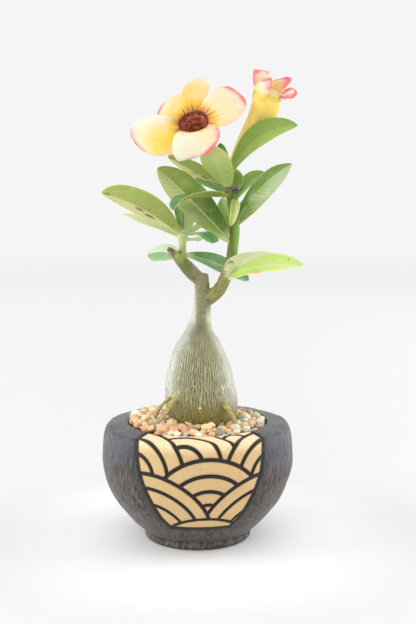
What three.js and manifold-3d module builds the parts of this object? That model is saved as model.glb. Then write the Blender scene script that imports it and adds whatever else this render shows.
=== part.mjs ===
// A desert rose (Adenium) in a belly-shaped clay pot: a swollen stem with two branches, whorls of
// leaves, one open and one half-open flower, soil and a mulch of pebbles.
// Millimetres, +Z up. The origin is on the pot's axis in the plane of its foot; the front is -Y.

import * as THREE from "three";
import { mergeVertices } from "three/addons/utils/BufferGeometryUtils.js";
import Module from "manifold-3d";

const wasm = await Module();
wasm.setup();

// ---- Driving dimensions ----
const GAP = 0.3; // clearance kept between neighbouring pieces
const ROUND_GAP = 0.4; // the same between two faceted round faces, whose flats come closer

const POT_RADIUS = 54; // at the belly
const POT_BELLY_HEIGHT = 48; // height of the belly's widest ring
const POT_RIM_HEIGHT = 66.3; // at the edge of the mouth
const POT_SHOULDER_HEIGHT = 64.8; // outer corner of the rim
const POT_SHOULDER_RADIUS = 50.6;
const POT_MOUTH_RADIUS = 39.2;
const POT_FOOT_RADIUS = 30;
const POT_FOOT_HEIGHT = 4.4;
const POT_WALL = 8.5;
const POT_FLOOR = 9;
const POT_SEGMENTS = 40;
const DRAIN_RADIUS = 3.6;
const DRAIN_CIRCLE = 12; // distance of the three drain holes from the axis

const SOIL_EDGE_HEIGHT = 61.6; // at the pot's wall; the soil mounds towards the stem
const SOIL_RISE = 3;
const BED_RADIUS = POT_MOUTH_RADIUS - 0.6; // of the soil and gravel inside the mouth
const GRAVEL_BED = 1.6; // thickness of the packed layer under the loose-looking pebbles
const PEBBLE_COUNT = 78;
const PEBBLE_SIZE = [2.6, 3.8]; // smallest and largest half length
const PEBBLE_FREE_RADIUS = 18; // the swollen stem fills the middle

const RIDGE_COUNT = 12; // larger-than-life skin ridges round the swollen stem
const RIDGE_HEIGHT = 0.45;
const RIDGE_FOOT = 62; // height where the ridges start, just above the pebbles
const RIDGE_TOP = 122; // height where they end, on the neck
const BLADE = 0.8; // thickness of a leaf
const PETAL = 0.7; // thickness of a petal, of a sepal and of a flower's tube
const PETAL_WAVE = 0.9; // height of the ripple along a petal's edges
const PETAL_TWIST = 1.4; // how far one edge of a petal is raised, as on a pinwheel
const SEPAL_LENGTH = 6.5;
const SEPAL_WIDTH = 2.8;
const STALK_RADIUS = 1.3; // of a flower's stalk

// ---- Materials ----
const finish = (color, roughness, metalness = 0) =>
  new THREE.MeshStandardMaterial({ color, roughness, metalness });
const CLAY = finish(0x2e3134, 0.8);
const SOIL = finish(0x3b2d22, 1.0);
const PEBBLES = finish(0xc9ab8a, 0.75);
const BARK = finish(0x8f9579, 0.8);
const LEAF_FRONT = finish(0x6f9a3e, 0.4);
const LEAF_PALE = finish(0xa6b964, 0.55);
const PETALS = finish(0xfbe58c, 0.5);
const CALYX = finish(0x93a54c, 0.6);

// ---- Geometry helpers ----
const v3 = (p) => new THREE.Vector3(...p);
const clamp01 = (x) => Math.min(1, Math.max(0, x));
const GOLDEN_ANGLE = Math.PI * (3 - Math.sqrt(5)); // spreads repeats evenly round a circle

// The same "random" numbers on every run.
function seeded(seed) {
  let state = seed;
  return () => {
    state = (state * 16807) % 2147483647;
    return state / 2147483647;
  };
}

// A closed three.js geometry as a solid, with shared vertices merged and collapsed faces dropped.
function solid(geometry) {
  const bare = geometry.clone();
  bare.deleteAttribute("normal");
  bare.deleteAttribute("uv");
  const merged = mergeVertices(bare, 1e-4);
  const index = merged.index.array;
  const kept = [];
  for (let i = 0; i < index.length; i += 3) {
    const [a, b, c] = [index[i], index[i + 1], index[i + 2]];
    if (a !== b && b !== c && c !== a) kept.push(a, b, c);
  }
  return new wasm.Manifold(
    new wasm.Mesh({
      numProp: 3,
      vertProperties: merged.attributes.position.array,
      triVerts: new Uint32Array(kept),
    }),
  );
}

// The largest body of a solid: the scraps that a cut leaves behind are dropped.
function mainBody(made) {
  return made.decompose().reduce((a, b) => (a.volume() > b.volume() ? a : b));
}

function piece(name, made, material) {
  const mesh = mainBody(made).getMesh();
  const geometry = new THREE.BufferGeometry();
  geometry.setAttribute("position", new THREE.BufferAttribute(mesh.vertProperties, 3));
  geometry.setIndex(new THREE.BufferAttribute(mesh.triVerts, 1));
  geometry.computeVertexNormals();
  const node = new THREE.Mesh(geometry, material);
  node.name = name;
  return node;
}

// A body of revolution about Z from [radius, height] pairs that run from the bottom outwards and up.
function turned(profile, segments) {
  const points = profile.map(([r, z]) => new THREE.Vector2(r, z));
  return solid(new THREE.LatheGeometry(points, segments).rotateX(Math.PI / 2));
}

// A round stem through [x, y, z, radius] points: a cylinder bent along a smooth curve.
// swell(turn, height) adds relief to the radius.
function limb(points, { sides = 12, steps = 12, grow = 0, swell = () => 0 } = {}) {
  const path = new THREE.CatmullRomCurve3(points.map((p) => v3(p.slice(0, 3))));
  const radii = new THREE.CatmullRomCurve3(points.map((p) => v3([p[3], 0, 0])));
  const geometry = new THREE.CylinderGeometry(1, 1, 1, sides, steps);
  const frames = [];
  const normal = new THREE.Vector3(1, 0, 0);
  if (Math.abs(path.getTangent(0).x) > 0.8) normal.set(0, 0, 1);
  for (let i = 0; i <= steps; i++) {
    const tangent = path.getTangent(i / steps);
    normal.addScaledVector(tangent, -normal.dot(tangent)).normalize();
    frames.push({ at: path.getPoint(i / steps), across: normal.clone(), along: tangent });
  }
  const position = geometry.attributes.position;
  const spot = new THREE.Vector3();
  for (let i = 0; i < position.count; i++) {
    spot.fromBufferAttribute(position, i);
    const row = Math.round((spot.y + 0.5) * steps);
    const { at, across, along } = frames[row];
    const other = across.clone().cross(along);
    const turn = Math.atan2(spot.x, spot.z);
    const radius = radii.getPoint(row / steps).x + grow + swell(turn, at.z);
    const x = spot.x * radius;
    const z = spot.z * radius;
    spot.copy(at).addScaledVector(across, x).addScaledVector(other, z);
    position.setXYZ(i, spot.x, spot.y, spot.z);
  }
  return solid(geometry);
}

// A thin blade: a grid whose surface is place(s, t), s from -1 to 1 across and t from 0 to 1
// along, given a thickness. Both faces are split into triangles alike.
function blade(place, { across = 2, along = 7, thickness = BLADE } = {}) {
  const sheet = new THREE.PlaneGeometry(2, 1, across, along);
  const position = sheet.attributes.position;
  for (let i = 0; i < position.count; i++) {
    const spot = place(position.getX(i), position.getY(i) + 0.5);
    position.setXYZ(i, spot.x, spot.y, spot.z);
  }
  sheet.computeVertexNormals();
  const normals = sheet.attributes.normal;
  const points = [];
  for (const sign of [1, -1]) {
    for (let i = 0; i < position.count; i++) {
      const spot = new THREE.Vector3().fromBufferAttribute(position, i);
      const normal = new THREE.Vector3().fromBufferAttribute(normals, i);
      points.push(...spot.addScaledVector(normal, (sign * thickness) / 2));
    }
  }
  const faces = [...sheet.index.array];
  const under = position.count;
  for (let i = 0; i < sheet.index.count; i += 3) {
    const [a, b, c] = sheet.index.array.slice(i, i + 3);
    faces.push(under + c, under + b, under + a);
  }
  const row = across + 1;
  const rim = [];
  for (let i = 0; i < across; i++) rim.push(i);
  for (let j = 0; j < along; j++) rim.push(j * row + across);
  for (let i = across; i > 0; i--) rim.push(along * row + i);
  for (let j = along; j > 0; j--) rim.push(j * row);
  rim.forEach((a, i) => {
    const b = rim[(i + 1) % rim.length];
    faces.push(a, b, under + b, a, under + b, under + a);
  });
  const geometry = new THREE.BufferGeometry();
  geometry.setAttribute("position", new THREE.Float32BufferAttribute(points, 3));
  geometry.setIndex(faces);
  return solid(geometry);
}

// The directions of a flower's tube: its axis, and the ray at an angle round it with the
// direction along its edge.
function tubeFrame(from, to) {
  const axis = v3(to).sub(v3(from)).normalize();
  const across = new THREE.Vector3(1, 0, 0).addScaledVector(axis, -axis.x).normalize();
  const up = axis.clone().cross(across);
  const ray = (angle) => {
    const out = across.clone().multiplyScalar(Math.cos(angle)).addScaledVector(up, Math.sin(angle));
    return { out, side: axis.clone().cross(out) };
  };
  return { axis, ray };
}

// ---- The pot: a thick-walled belly on a small foot, with a broad, gently sloping rim ----
const potBelly = new THREE.SplineCurve(
  [
    [36, 9.5],
    [42.5, 17],
    [48, 25],
    [51.5, 33],
    [53.5, 41],
    [POT_RADIUS, POT_BELLY_HEIGHT],
    [53.6, 55],
    [52.5, 61],
  ].map(([r, z]) => new THREE.Vector2(r, z)),
);
const outerWall = potBelly.getPoints(10).map((p) => [p.x, p.y]);
const innerWall = [
  [POT_MOUTH_RADIUS, 61],
  [42.5, 58],
  [POT_RADIUS - POT_WALL, 49],
  [44.5, 40],
  [39, 26],
  [30, 14.5],
  [22, POT_FLOOR],
];

function makePot() {
  let made = turned(
    [
      [0, 0],
      [POT_FOOT_RADIUS, 0],
      [POT_FOOT_RADIUS + 0.3, 1],
      [POT_FOOT_RADIUS - 0.6, POT_FOOT_HEIGHT],
      [POT_FOOT_RADIUS + 0.8, POT_FOOT_HEIGHT + 0.8],
      ...outerWall,
      [51.4, 64],
      [POT_SHOULDER_RADIUS, POT_SHOULDER_HEIGHT],
      [POT_MOUTH_RADIUS + 0.7, POT_RIM_HEIGHT],
      [POT_MOUTH_RADIUS, POT_RIM_HEIGHT - 0.6],
      ...innerWall,
      [0, POT_FLOOR],
    ],
    POT_SEGMENTS,
  );
  for (let i = 0; i < 3; i++) {
    const turn = (i * 2 * Math.PI) / 3 + Math.PI / 2;
    const hole = new THREE.CylinderGeometry(DRAIN_RADIUS, DRAIN_RADIUS, 4 * POT_FLOOR, 16)
      .rotateX(Math.PI / 2)
      .translate(DRAIN_CIRCLE * Math.cos(turn), DRAIN_CIRCLE * Math.sin(turn), 0);
    made = made.subtract(solid(hole));
  }
  return made;
}

// ---- The grown body: swollen stem, roots, two branches with their green shoots, pruned stubs ----
const SWOLLEN_STEM = [
  [3.3, 0, 48, 7],
  [3.3, 0, 54, 13.5],
  [3.3, 0, 60, 17],
  [3.3, 0, 66, 18.7],
  [3.0, 0, 72, 19.9],
  [2.1, 0, 79, 20.3],
  [1.3, 0, 86, 19.7],
  [1.0, 0, 95, 18.0],
  [0.6, 0, 104, 15.2],
  [0.8, 0, 111, 12.0],
  [1.0, 0, 117.5, 7.9],
  [1.9, 0, 124.5, 5.7],
  [2.6, 0, 134, 4.7],
  [2.5, 0, 141, 4.2],
  [2.4, 0, 146, 4.0],
  [3.0, 0, 150, 3.2],
];
const LEFT_BRANCH = [
  [2.4, 0, 145, 3.6],
  [-3.2, -0.5, 150.5, 3.9],
  [-7.2, -1, 155, 3.7],
  [-10.8, -1.6, 159, 3.0],
  [-13.6, -2, 161.6, 1.9],
  [-16.4, -2.4, 164, 1.0],
];
const LEFT_SHOOT = [
  [-8.6, -1.2, 156, 2.6],
  [-8.3, -1, 162, 2.1],
  [-8.4, -1, 167, 2.2],
  [-8.4, -1, 171, 2.9],
  [-8.4, -1, 173.2, 2.0],
];
const RIGHT_BRANCH = [
  [2.6, 0, 133, 3.6],
  [6.5, -0.8, 136, 3.9],
  [11.2, -1.8, 139.8, 3.8],
  [14.2, -2.5, 144.5, 3.5],
  [16.4, -2.8, 150, 3.4],
  [18.4, -2.6, 156, 3.1],
  [19.6, -2, 164, 3.0],
  [20.5, -1.3, 173, 3.0],
  [20.3, -1, 184, 2.9],
  [19.4, -1, 190, 3.3],
  [18.9, -1, 195.5, 3.2],
];
const FLOWERING_TIP = [
  [18.9, -1, 191, 2.6],
  [17.2, -1, 196, 2.6],
  [16.8, 0, 200, 2.3],
  [17, 0.6, 204, 1.6],
];
const CUT_STUB = [
  [19.6, -1.6, 190.5, 2.4],
  [20.3, -3, 194, 2.5],
  [20.8, -4.2, 197, 2.3],
];
const ROOTS = [
  [
    [-6, -9, 88, 3],
    [-10.2, -14.6, 83.5, 2.4],
    [-14.5, -17.4, 78.5, 1.5],
    [-18.5, -20.4, 73, 1.1],
    [-23, -22.6, 69.2, 1.0],
    [-27, -24, 66, 0.9],
  ],
  [
    [-10, -13, 84, 1.6],
    [-16, -12.6, 81, 1.1],
    [-20.6, -10.5, 76, 1.0],
    [-23.5, -9, 70, 1.0],
    [-25.5, -8, 64, 1.0],
  ],
  [
    [9, -10, 84, 3],
    [13.5, -14.6, 80, 2.2],
    [17.5, -18.6, 75.5, 1.5],
    [21.4, -21.8, 70, 1.3],
    [24, -24, 65, 1.2],
  ],
  [
    [10, 12, 80, 3],
    [16, 19, 74, 1.9],
    [20, 24, 66, 1.4],
  ],
];

// Relief of the skin: wavy upright ridges that fade out on the neck and on the buried part.
function skinRidges(turn, height) {
  const fade = clamp01((height - RIDGE_FOOT) / 8) * clamp01((RIDGE_TOP - height) / 14);
  const wander = 0.5 * Math.sin(height / 5.3) + 0.35 * Math.sin(height / 2.9 + 2 * turn);
  return RIDGE_HEIGHT * fade * Math.cos(RIDGE_COUNT * turn + wander);
}

// grow is how much thicker than the real body it is: above 0 it is the plain, smooth shape that
// keeps the neighbours clear.
function makeGrowth(grow) {
  const skin = { sides: 3 * RIDGE_COUNT, swell: skinRidges };
  const clearance = { sides: 24, swell: () => RIDGE_HEIGHT };
  const stem = { steps: 22, grow, ...(grow === 0 ? skin : clearance) };
  const branch = { sides: 9, steps: 8, grow };
  const twig = { sides: 7, steps: 4, grow };
  let made = limb(SWOLLEN_STEM, stem)
    .add(limb(LEFT_BRANCH, branch))
    .add(limb(LEFT_SHOOT, { ...branch, steps: 5 }))
    .add(limb(RIGHT_BRANCH, { ...branch, steps: 14 }))
    .add(limb(FLOWERING_TIP, twig))
    .add(limb(CUT_STUB, twig));
  for (const root of ROOTS) made = made.add(limb(root, { ...twig, sides: 6, steps: 6 }));
  return made;
}

// ---- Leaves: spoon-shaped blades folded along the midrib ----
// width is the whole width; face is the way the upper side looks; fold is how far each half is
// raised from flat, in degrees.
const LEAVES = {
  leaf_left_1: { base: [-8.4, -1, 170.5], middle: [-29, -14, 185.8], tip: [-52, -12, 194.5],
    width: 20, face: [0.3, 0.78, 0.52], fold: 26 },
  leaf_left_2: { base: [-8.4, 0, 169], middle: [-27, 16, 177], tip: [-45, 30, 182],
    width: 16, face: [0.1, -0.2, 1], fold: 12 },
  leaf_left_3: { base: [-8.2, 0, 171.5], middle: [-7.7, 10, 183], tip: [-10, 18, 194.5],
    width: 15, face: [0.3, -0.9, 0.5], fold: 26 },
  leaf_left_4: { base: [-8, -2, 171], middle: [1.3, -18, 172.3], tip: [8, -30, 168],
    width: 14, face: [0.4, -0.55, 0.75], fold: 12 },
  leaf_left_5: { base: [-8, 0, 170.5], middle: [2, 16, 175.5], tip: [7.5, 28, 179.5],
    width: 12, face: [-0.3, -0.2, 1], fold: 15 },
  leaf_left_6: { base: [-8, 0, 168], middle: [-3, 15, 168], tip: [0, 26, 166.5],
    width: 11, face: [0, 0.2, 1], fold: 15 },
  leaf_left_7: { base: [-9, 0, 158.5], middle: [-19.5, 15, 160.8], tip: [-29.5, 27, 158.5],
    width: 13, face: [-0.1, -0.8, 0.5], fold: -8 },
  leaf_left_8: { base: [-8, 0, 160.5], middle: [12.7, 9, 153.8], tip: [29.3, 14, 144.5],
    width: 14, face: [0.2, -0.6, 0.7], fold: 10 },
  leaf_right_1: { base: [20.5, -1.5, 174], middle: [33.6, -12, 194.5], tip: [51, -16, 210],
    width: 18, face: [-0.9, -0.6, 0.2], fold: 12 },
  leaf_right_2: { base: [20.3, -1, 189.5], middle: [29, 10, 201], tip: [41, 18, 208],
    width: 12, face: [-0.7, -0.9, 0.3], fold: 12 },
  leaf_right_3: { base: [17, 0, 203], middle: [33, -6, 224.5], tip: [54.5, -9, 230.5],
    width: 16, face: [-0.3, -0.7, 0.5], fold: 12 },
  leaf_right_4: { base: [19.8, -1.6, 166], middle: [-2, -9, 189], tip: [-21.5, -12, 208],
    width: 21, face: [0.33, -0.88, 0.33], fold: 18 },
  leaf_right_5: { base: [18.9, -1, 192.2], middle: [-2.7, -27, 192.5], tip: [-12, -38, 185.5],
    width: 14, face: [-0.1, 0.1, 1], fold: 18 },
  leaf_right_6: { base: [17.2, -1.5, 196.5], middle: [12, -9, 209], tip: [3, -13, 219],
    width: 18, face: [0.3, 0.9, 0.3], fold: 8 },
  leaf_right_7: { base: [16.8, 0.2, 199], middle: [0, 6, 206], tip: [-17, 11, 215],
    width: 13, face: [-0.5, 0.5, 0.7], fold: 10 },
  leaf_right_8: { base: [18.2, 0, 194], middle: [7, 16, 201], tip: [0, 29, 208.5],
    width: 12, face: [-0.4, -0.4, 1], fold: 15 },
  leaf_right_9: { base: [19.2, 0, 194.5], middle: [20.3, 9, 201.5], tip: [18.5, 15, 208.5],
    width: 10, face: [0.1, -1, 0.3], fold: 10 },
  leaf_right_10: { base: [16.8, -1, 201.5], middle: [14, -4, 211], tip: [12.5, -5.5, 221.5],
    width: 8, face: [0.3, -1, 0.2], fold: 15 },
  leaf_right_11: { base: [20, -2, 190.5], middle: [21, -11, 186.5], tip: [18.8, -15, 176.5],
    width: 8, face: [0, -1, 0.6], fold: 20 },
  leaf_right_12: { base: [20.3, -1, 176], middle: [15.5, 12, 184], tip: [14, 24, 191.5],
    width: 8, face: [-0.8, -0.5, 0.6], fold: 15 },
  leaf_right_13: { base: [15.8, -2.6, 146], middle: [34.5, -15, 154.6], tip: [57, -25, 156],
    width: 16, face: [0, -0.55, 0.8], fold: 12 },
  leaf_right_14: { base: [16.2, -2, 151.5], middle: [25.5, -2.5, 154.5], tip: [47.5, 10, 157],
    width: 16, face: [0, 0.85, 0.5], fold: 8 },
  leaf_back_1: { base: [20.3, -1, 172], middle: [4, 19, 185], tip: [-9, 32, 191],
    width: 15, face: [-0.2, 0.3, 1], fold: 14 },
  leaf_back_2: { base: [20.3, -1, 182], middle: [34, 15, 192], tip: [44, 29, 203],
    width: 14, face: [-0.2, -0.3, 1], fold: 14 },
};

// Half width along a leaf, as a share of its largest: a stalk, a wedge-shaped base, the widest
// part past the middle and a short tip.
const WIDEST = 0.56;
const TIP_POWER = 0.62;
const BASE_POWER = (TIP_POWER * WIDEST) / (1 - WIDEST);
const STALK = 0.11;
const TIP_WIDTH = 0.05;
function leafOutline(t) {
  const peak = WIDEST ** BASE_POWER * (1 - WIDEST) ** TIP_POWER;
  const spoon = (t ** BASE_POWER * (1 - t) ** TIP_POWER) / peak;
  return Math.max(spoon, t < 0.5 ? STALK : TIP_WIDTH);
}

function makeLeaf({ base, middle, tip, width, face, fold }) {
  const control = v3(middle).multiplyScalar(2).addScaledVector(v3(base).add(v3(tip)), -0.5);
  const midrib = new THREE.QuadraticBezierCurve3(v3(base), control, v3(tip));
  const lift = THREE.MathUtils.degToRad(fold);
  return blade((s, t) => {
    const tangent = midrib.getTangent(t);
    const side = tangent.clone().cross(v3(face)).normalize();
    const up = side.clone().cross(tangent);
    const half = (width / 2) * leafOutline(t);
    return midrib
      .getPoint(t)
      .addScaledVector(side, s * half * Math.cos(lift))
      .addScaledVector(up, Math.abs(s) * half * Math.sin(lift));
  });
}

// ---- Flowers: a funnel-shaped tube whose rim parts into five lobes, in a small calyx ----
// A lobe: turn is its direction round the tube in degrees, reach and rise are how far its tip is
// out from the rim and above it, and bow is how high it arches on the way.
const OPEN_FLOWER = {
  tube: [
    [12.6, 2.6, 205.5, 1.5],
    [9, 4.6, 211, 2.1],
    [4, 5, 217.5, 3.0],
    [0.4, 1.4, 224, 5.4],
    [-1, -3.6, 228.6, 6.6],
    [-1.8, -8, 232.2, 7.2],
  ],
  lobes: [
    { turn: 29, reach: 26, rise: 0, bow: 6, width: 26 },
    { turn: 84, reach: 27, rise: -4, bow: 6, width: 19 },
    { turn: 132, reach: 24, rise: -4, bow: 5, width: 18 },
    { turn: 195, reach: 28, rise: -4, bow: 6, width: 26 },
    { turn: 271, reach: 20, rise: -3, bow: 8, width: 21 },
  ],
};
const HALF_OPEN_FLOWER = {
  tube: [
    [18.2, 4.4, 207, 1.5],
    [20.2, 6, 213, 2.0],
    [23.6, 6.4, 221, 2.6],
    [28.2, 5, 229.4, 3.6],
    [32.4, 3, 236, 6.2],
    [35.2, 1.5, 242, 7.7],
    [37, 1, 248, 7.4],
  ],
  lobes: [
    { turn: 162, reach: 0.5, rise: 13, bow: 3, width: 15 },
    { turn: 84, reach: 4, rise: 13, bow: 4, width: 16 },
    { turn: 14, reach: 11.5, rise: 7, bow: 6, width: 14 },
    { turn: -55, reach: 5, rise: 5, bow: 4, width: 12 },
    { turn: 228, reach: 0, rise: 7, bow: 3, width: 12 },
  ],
};
const TUBE_SIDES = 12;

// Half width along a lobe, as a share of its largest: narrow at the rim, broad and rounded outside.
function lobeOutline(t) {
  return Math.max(0.3, Math.sin(Math.PI * (0.2 + 0.8 * t) ** 1.8) ** 0.55);
}

function makeCorolla({ tube, lobes }) {
  const mouth = tube.at(-1);
  const { axis, ray } = tubeFrame(tube.at(-2), mouth);
  const rim = mouth[3] - PETAL / 2;
  const beyond = v3(mouth).addScaledVector(axis, 3);
  const bore = [...tube.slice(2), [...beyond, mouth[3] + 1]].map(([x, y, z, r]) => [
    x, y, z, r - PETAL,
  ]);
  let made = limb(tube, { sides: TUBE_SIDES, steps: 7 }).subtract(
    limb(bore, { sides: TUBE_SIDES, steps: 7 }),
  );
  // The anther cone fills the tube's foot and tapers to a point in its throat.
  const anthers = tube.slice(1, 5).map(([x, y, z, r], i) => [x, y, z, [r, r, 1.7, 0.5][i]]);
  made = made.add(limb(anthers, { sides: 6, steps: 3 }));
  lobes.forEach(({ turn, reach, rise, bow, width }, k) => {
    const { out, side } = ray(THREE.MathUtils.degToRad(turn));
    const section = new THREE.QuadraticBezierCurve(
      new THREE.Vector2(rim, -1.5),
      new THREE.Vector2(rim + 0.3 * reach, bow + 0.3 * rise),
      new THREE.Vector2(rim + reach, rise),
    );
    made = made.add(
      blade(
        (s, t) => {
          const spot = section.getPoint(t);
          const half = (width / 2) * lobeOutline(t);
          const wrap = ((s * half) ** 2 / (2 * rim)) * (1 - t) ** 2;
          const ripple = PETAL_WAVE * t * s * s * Math.sin(5 * t + 2 * k + 2 * s);
          const twist = PETAL_TWIST * t * s;
          return v3(mouth)
            .addScaledVector(out, spot.x - wrap)
            .addScaledVector(side, s * half)
            .addScaledVector(axis, spot.y + ripple + twist);
        },
        { across: 4, along: 5, thickness: PETAL },
      ),
    );
  });
  return made;
}

// The calyx: a stalk that widens into a cup with five narrow sepals lying along the tube.
function makeCalyx({ tube }, stalkStart) {
  const [base, next] = tube;
  const { axis, ray } = tubeFrame(base, next);
  const foot = v3(base).addScaledVector(axis, -2.2);
  let made = limb(
    [
      [...stalkStart, STALK_RADIUS],
      [...v3(stalkStart).lerp(foot, 0.5), STALK_RADIUS],
      [...foot, STALK_RADIUS + 0.3],
      [...base.slice(0, 3), base[3] + 1.1],
      [...v3(base).addScaledVector(axis, 1.5), base[3] + 1.2],
    ],
    { sides: 7, steps: 4 },
  );
  for (let k = 0; k < 5; k++) {
    const { out, side } = ray((k * 2 * Math.PI) / 5);
    made = made.add(
      blade(
        (s, t) =>
          v3(base)
            .addScaledVector(axis, SEPAL_LENGTH * t)
            .addScaledVector(out, base[3] + 0.75 + 1.6 * t * t)
            .addScaledVector(side, s * Math.max(0.25, (SEPAL_WIDTH / 2) * (1 - t ** 2))),
        { across: 2, along: 2, thickness: PETAL },
      ),
    );
  }
  return made.subtract(limb(tube, { sides: TUBE_SIDES, steps: 7, grow: ROUND_GAP }));
}

// ---- Soil and gravel ----
const soilTop = (r) => SOIL_EDGE_HEIGHT + SOIL_RISE * (1 - r / POT_MOUTH_RADIUS);

function makeSoil(hollow) {
  const wall = innerWall.map(([r, z]) => [r - ROUND_GAP, z]).reverse();
  const made = turned(
    [[0, POT_FLOOR + GAP], [wall[0][0], POT_FLOOR + GAP], ...wall.slice(1),
      [BED_RADIUS, soilTop(POT_MOUTH_RADIUS)], [0, soilTop(0)]],
    24,
  );
  return made.subtract(hollow);
}

function makeGravel(hollow) {
  const random = seeded(41);
  const low = (r) => soilTop(r) + GAP;
  let made = turned(
    [[0, low(0)], [BED_RADIUS, low(BED_RADIUS)],
      [BED_RADIUS, low(BED_RADIUS) + GRAVEL_BED], [0, low(0) + GRAVEL_BED]],
    24,
  );
  for (let i = 0; i < PEBBLE_COUNT; i++) {
    const size = PEBBLE_SIZE[0] + random() ** 1.5 * (PEBBLE_SIZE[1] - PEBBLE_SIZE[0]);
    const outer = BED_RADIUS - size - 0.1;
    const share = (i + random()) / PEBBLE_COUNT;
    const r = Math.sqrt(THREE.MathUtils.lerp(PEBBLE_FREE_RADIUS ** 2, outer ** 2, share));
    const turn = i * GOLDEN_ANGLE + 0.5 * random();
    const pebble = new THREE.IcosahedronGeometry(size, 0)
      .rotateX(6 * random())
      .rotateY(6 * random())
      .scale(1, 0.72 + 0.2 * random(), 0.62 + 0.2 * random())
      .rotateZ(6 * random())
      .translate(r * Math.cos(turn), r * Math.sin(turn), low(r) + GRAVEL_BED + 0.3 * size);
    made = made.add(solid(pebble));
  }
  return made.subtract(hollow);
}

// ---- Assembly ----
const potted = new THREE.Group();
const clearOfGrowth = makeGrowth(GAP);

potted.add(piece("pot", makePot(), CLAY));
potted.add(piece("soil", makeSoil(clearOfGrowth), SOIL));
potted.add(piece("gravel", makeGravel(clearOfGrowth), PEBBLES));
potted.add(piece("swollen_stem", makeGrowth(0), BARK));
// A leaf that faces the front shows its glossy upper side there, and the others their pale underside.
for (const [name, leaf] of Object.entries(LEAVES)) {
  const material = leaf.face[1] < 0 ? LEAF_FRONT : LEAF_PALE;
  potted.add(piece(name, makeLeaf(leaf).subtract(clearOfGrowth), material));
}
potted.add(piece("corolla_open", makeCorolla(OPEN_FLOWER), PETALS));
potted.add(piece("corolla_half_open", makeCorolla(HALF_OPEN_FLOWER), PETALS));
const calyxes = {
  calyx_open: makeCalyx(OPEN_FLOWER, [16.6, 0.4, 202]),
  calyx_half_open: makeCalyx(HALF_OPEN_FLOWER, [17, 1, 203]),
};
for (const [name, calyx] of Object.entries(calyxes)) {
  potted.add(piece(name, calyx.subtract(clearOfGrowth), CALYX));
}

export default potted;
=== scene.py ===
import math
import random

import bmesh
import bpy
import numpy as np
from mathutils import Matrix, Vector, noise


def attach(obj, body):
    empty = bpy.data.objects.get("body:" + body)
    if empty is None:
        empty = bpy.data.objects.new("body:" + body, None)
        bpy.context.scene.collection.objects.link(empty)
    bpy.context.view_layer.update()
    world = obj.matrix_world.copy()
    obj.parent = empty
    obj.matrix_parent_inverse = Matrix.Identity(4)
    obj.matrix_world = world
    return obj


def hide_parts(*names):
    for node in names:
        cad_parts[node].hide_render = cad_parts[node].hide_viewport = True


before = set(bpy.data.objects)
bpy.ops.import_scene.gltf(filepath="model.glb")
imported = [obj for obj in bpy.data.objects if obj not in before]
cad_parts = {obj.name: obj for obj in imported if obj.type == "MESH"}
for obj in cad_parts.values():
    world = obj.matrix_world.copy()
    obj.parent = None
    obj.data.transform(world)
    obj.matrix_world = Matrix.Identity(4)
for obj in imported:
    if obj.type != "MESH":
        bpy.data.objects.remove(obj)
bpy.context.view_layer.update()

# ---- The studio ----
# A pale seamless table in a white tent: soft light from all round, a large square lamp on either
# side and a weaker one in front. The camera is level with the upper leaves and looks down a little.
MM = 0.001
CAMERA_AT = Vector((5.85, -570, 195.5)) * MM
CAMERA_PITCH = math.radians(6.75)  # below the horizon
CAMERA_LENS = 59.0
TABLE_SIZE = 6.0
# The table's tones, and between which distances in metres each takes over from the one round it.
# The tones are painted light and shade: lighter round the pot's foot against its shadow, darker
# close by where the lamps light most, and lighter far off where they hardly reach.
TABLE_TONES_AGAINST_SHADE = {"under": (250, 250, 251), "round": (219, 219, 220), "far": (244, 244, 245),
               "end": (255, 255, 255)}
TABLE_RINGS = {"under": (0.14, 0.045), "far": (0.15, 1.4), "end": (1.4, 2.9)}
SKY_STRENGTH = 0.913
LAMPS = {
    "left": {"at": (-1.0, -0.1, 0.45), "size": 0.8, "power": 5.8},
    "right": {"at": (1.0, 0.1, 0.5), "size": 0.8, "power": 6.3},
    "front": {"at": (-0.3, -1.3, 0.9), "size": 0.8, "power": 4},
}
LAMP_TARGET = Vector((0, 0, 0.13))


def from_screen(red, green, blue):
    """A colour as a paint chart gives it, 0 to 255, as the linear value that a shader needs."""
    return tuple((c / 255) ** 2.2 for c in (red, green, blue)) + (1.0,)


def new_finish(name, roughness, **sockets):
    """A material and its node tree, with the shader's own sockets set to what is the same all over."""
    material = bpy.data.materials.new(name)
    material.use_nodes = True
    tree = material.node_tree
    shader = tree.nodes["Principled BSDF"]
    shader.inputs["Roughness"].default_value = roughness
    for socket, value in sockets.items():
        shader.inputs[socket.replace("_", " ")].default_value = value
    return material, tree


def wire(tree, kind, inputs, output=0, **settings):
    """Adds a node, sets or links its inputs, and gives the wanted output."""
    node = tree.nodes.new(kind)
    for key, value in settings.items():
        setattr(node, key, value)
    for socket, value in inputs.items():
        if isinstance(value, bpy.types.NodeSocket):
            tree.links.new(value, node.inputs[socket])
        else:
            node.inputs[socket].default_value = value
    return node.outputs[output]


def maths(tree, operation, first, second=0.0, third=0.0):
    """One step of arithmetic on numbers or on other nodes' outputs."""
    return wire(tree, "ShaderNodeMath", {0: first, 1: second, 2: third}, operation=operation)


def ramp(tree, value, low, high, to_low=0.0, to_high=1.0):
    """value from low to high, eased into a number from to_low to to_high."""
    inputs = {"Value": value, "From Min": low, "From Max": high, "To Min": to_low, "To Max": to_high}
    return wire(tree, "ShaderNodeMapRange", inputs, interpolation_type="SMOOTHSTEP")


def mixed(tree, share, first, second):
    """The first colour where share is 0, the second where it is 1."""
    return wire(tree, "ShaderNodeMix", {0: share, 6: first, 7: second}, output=2, data_type="RGBA")


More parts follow.
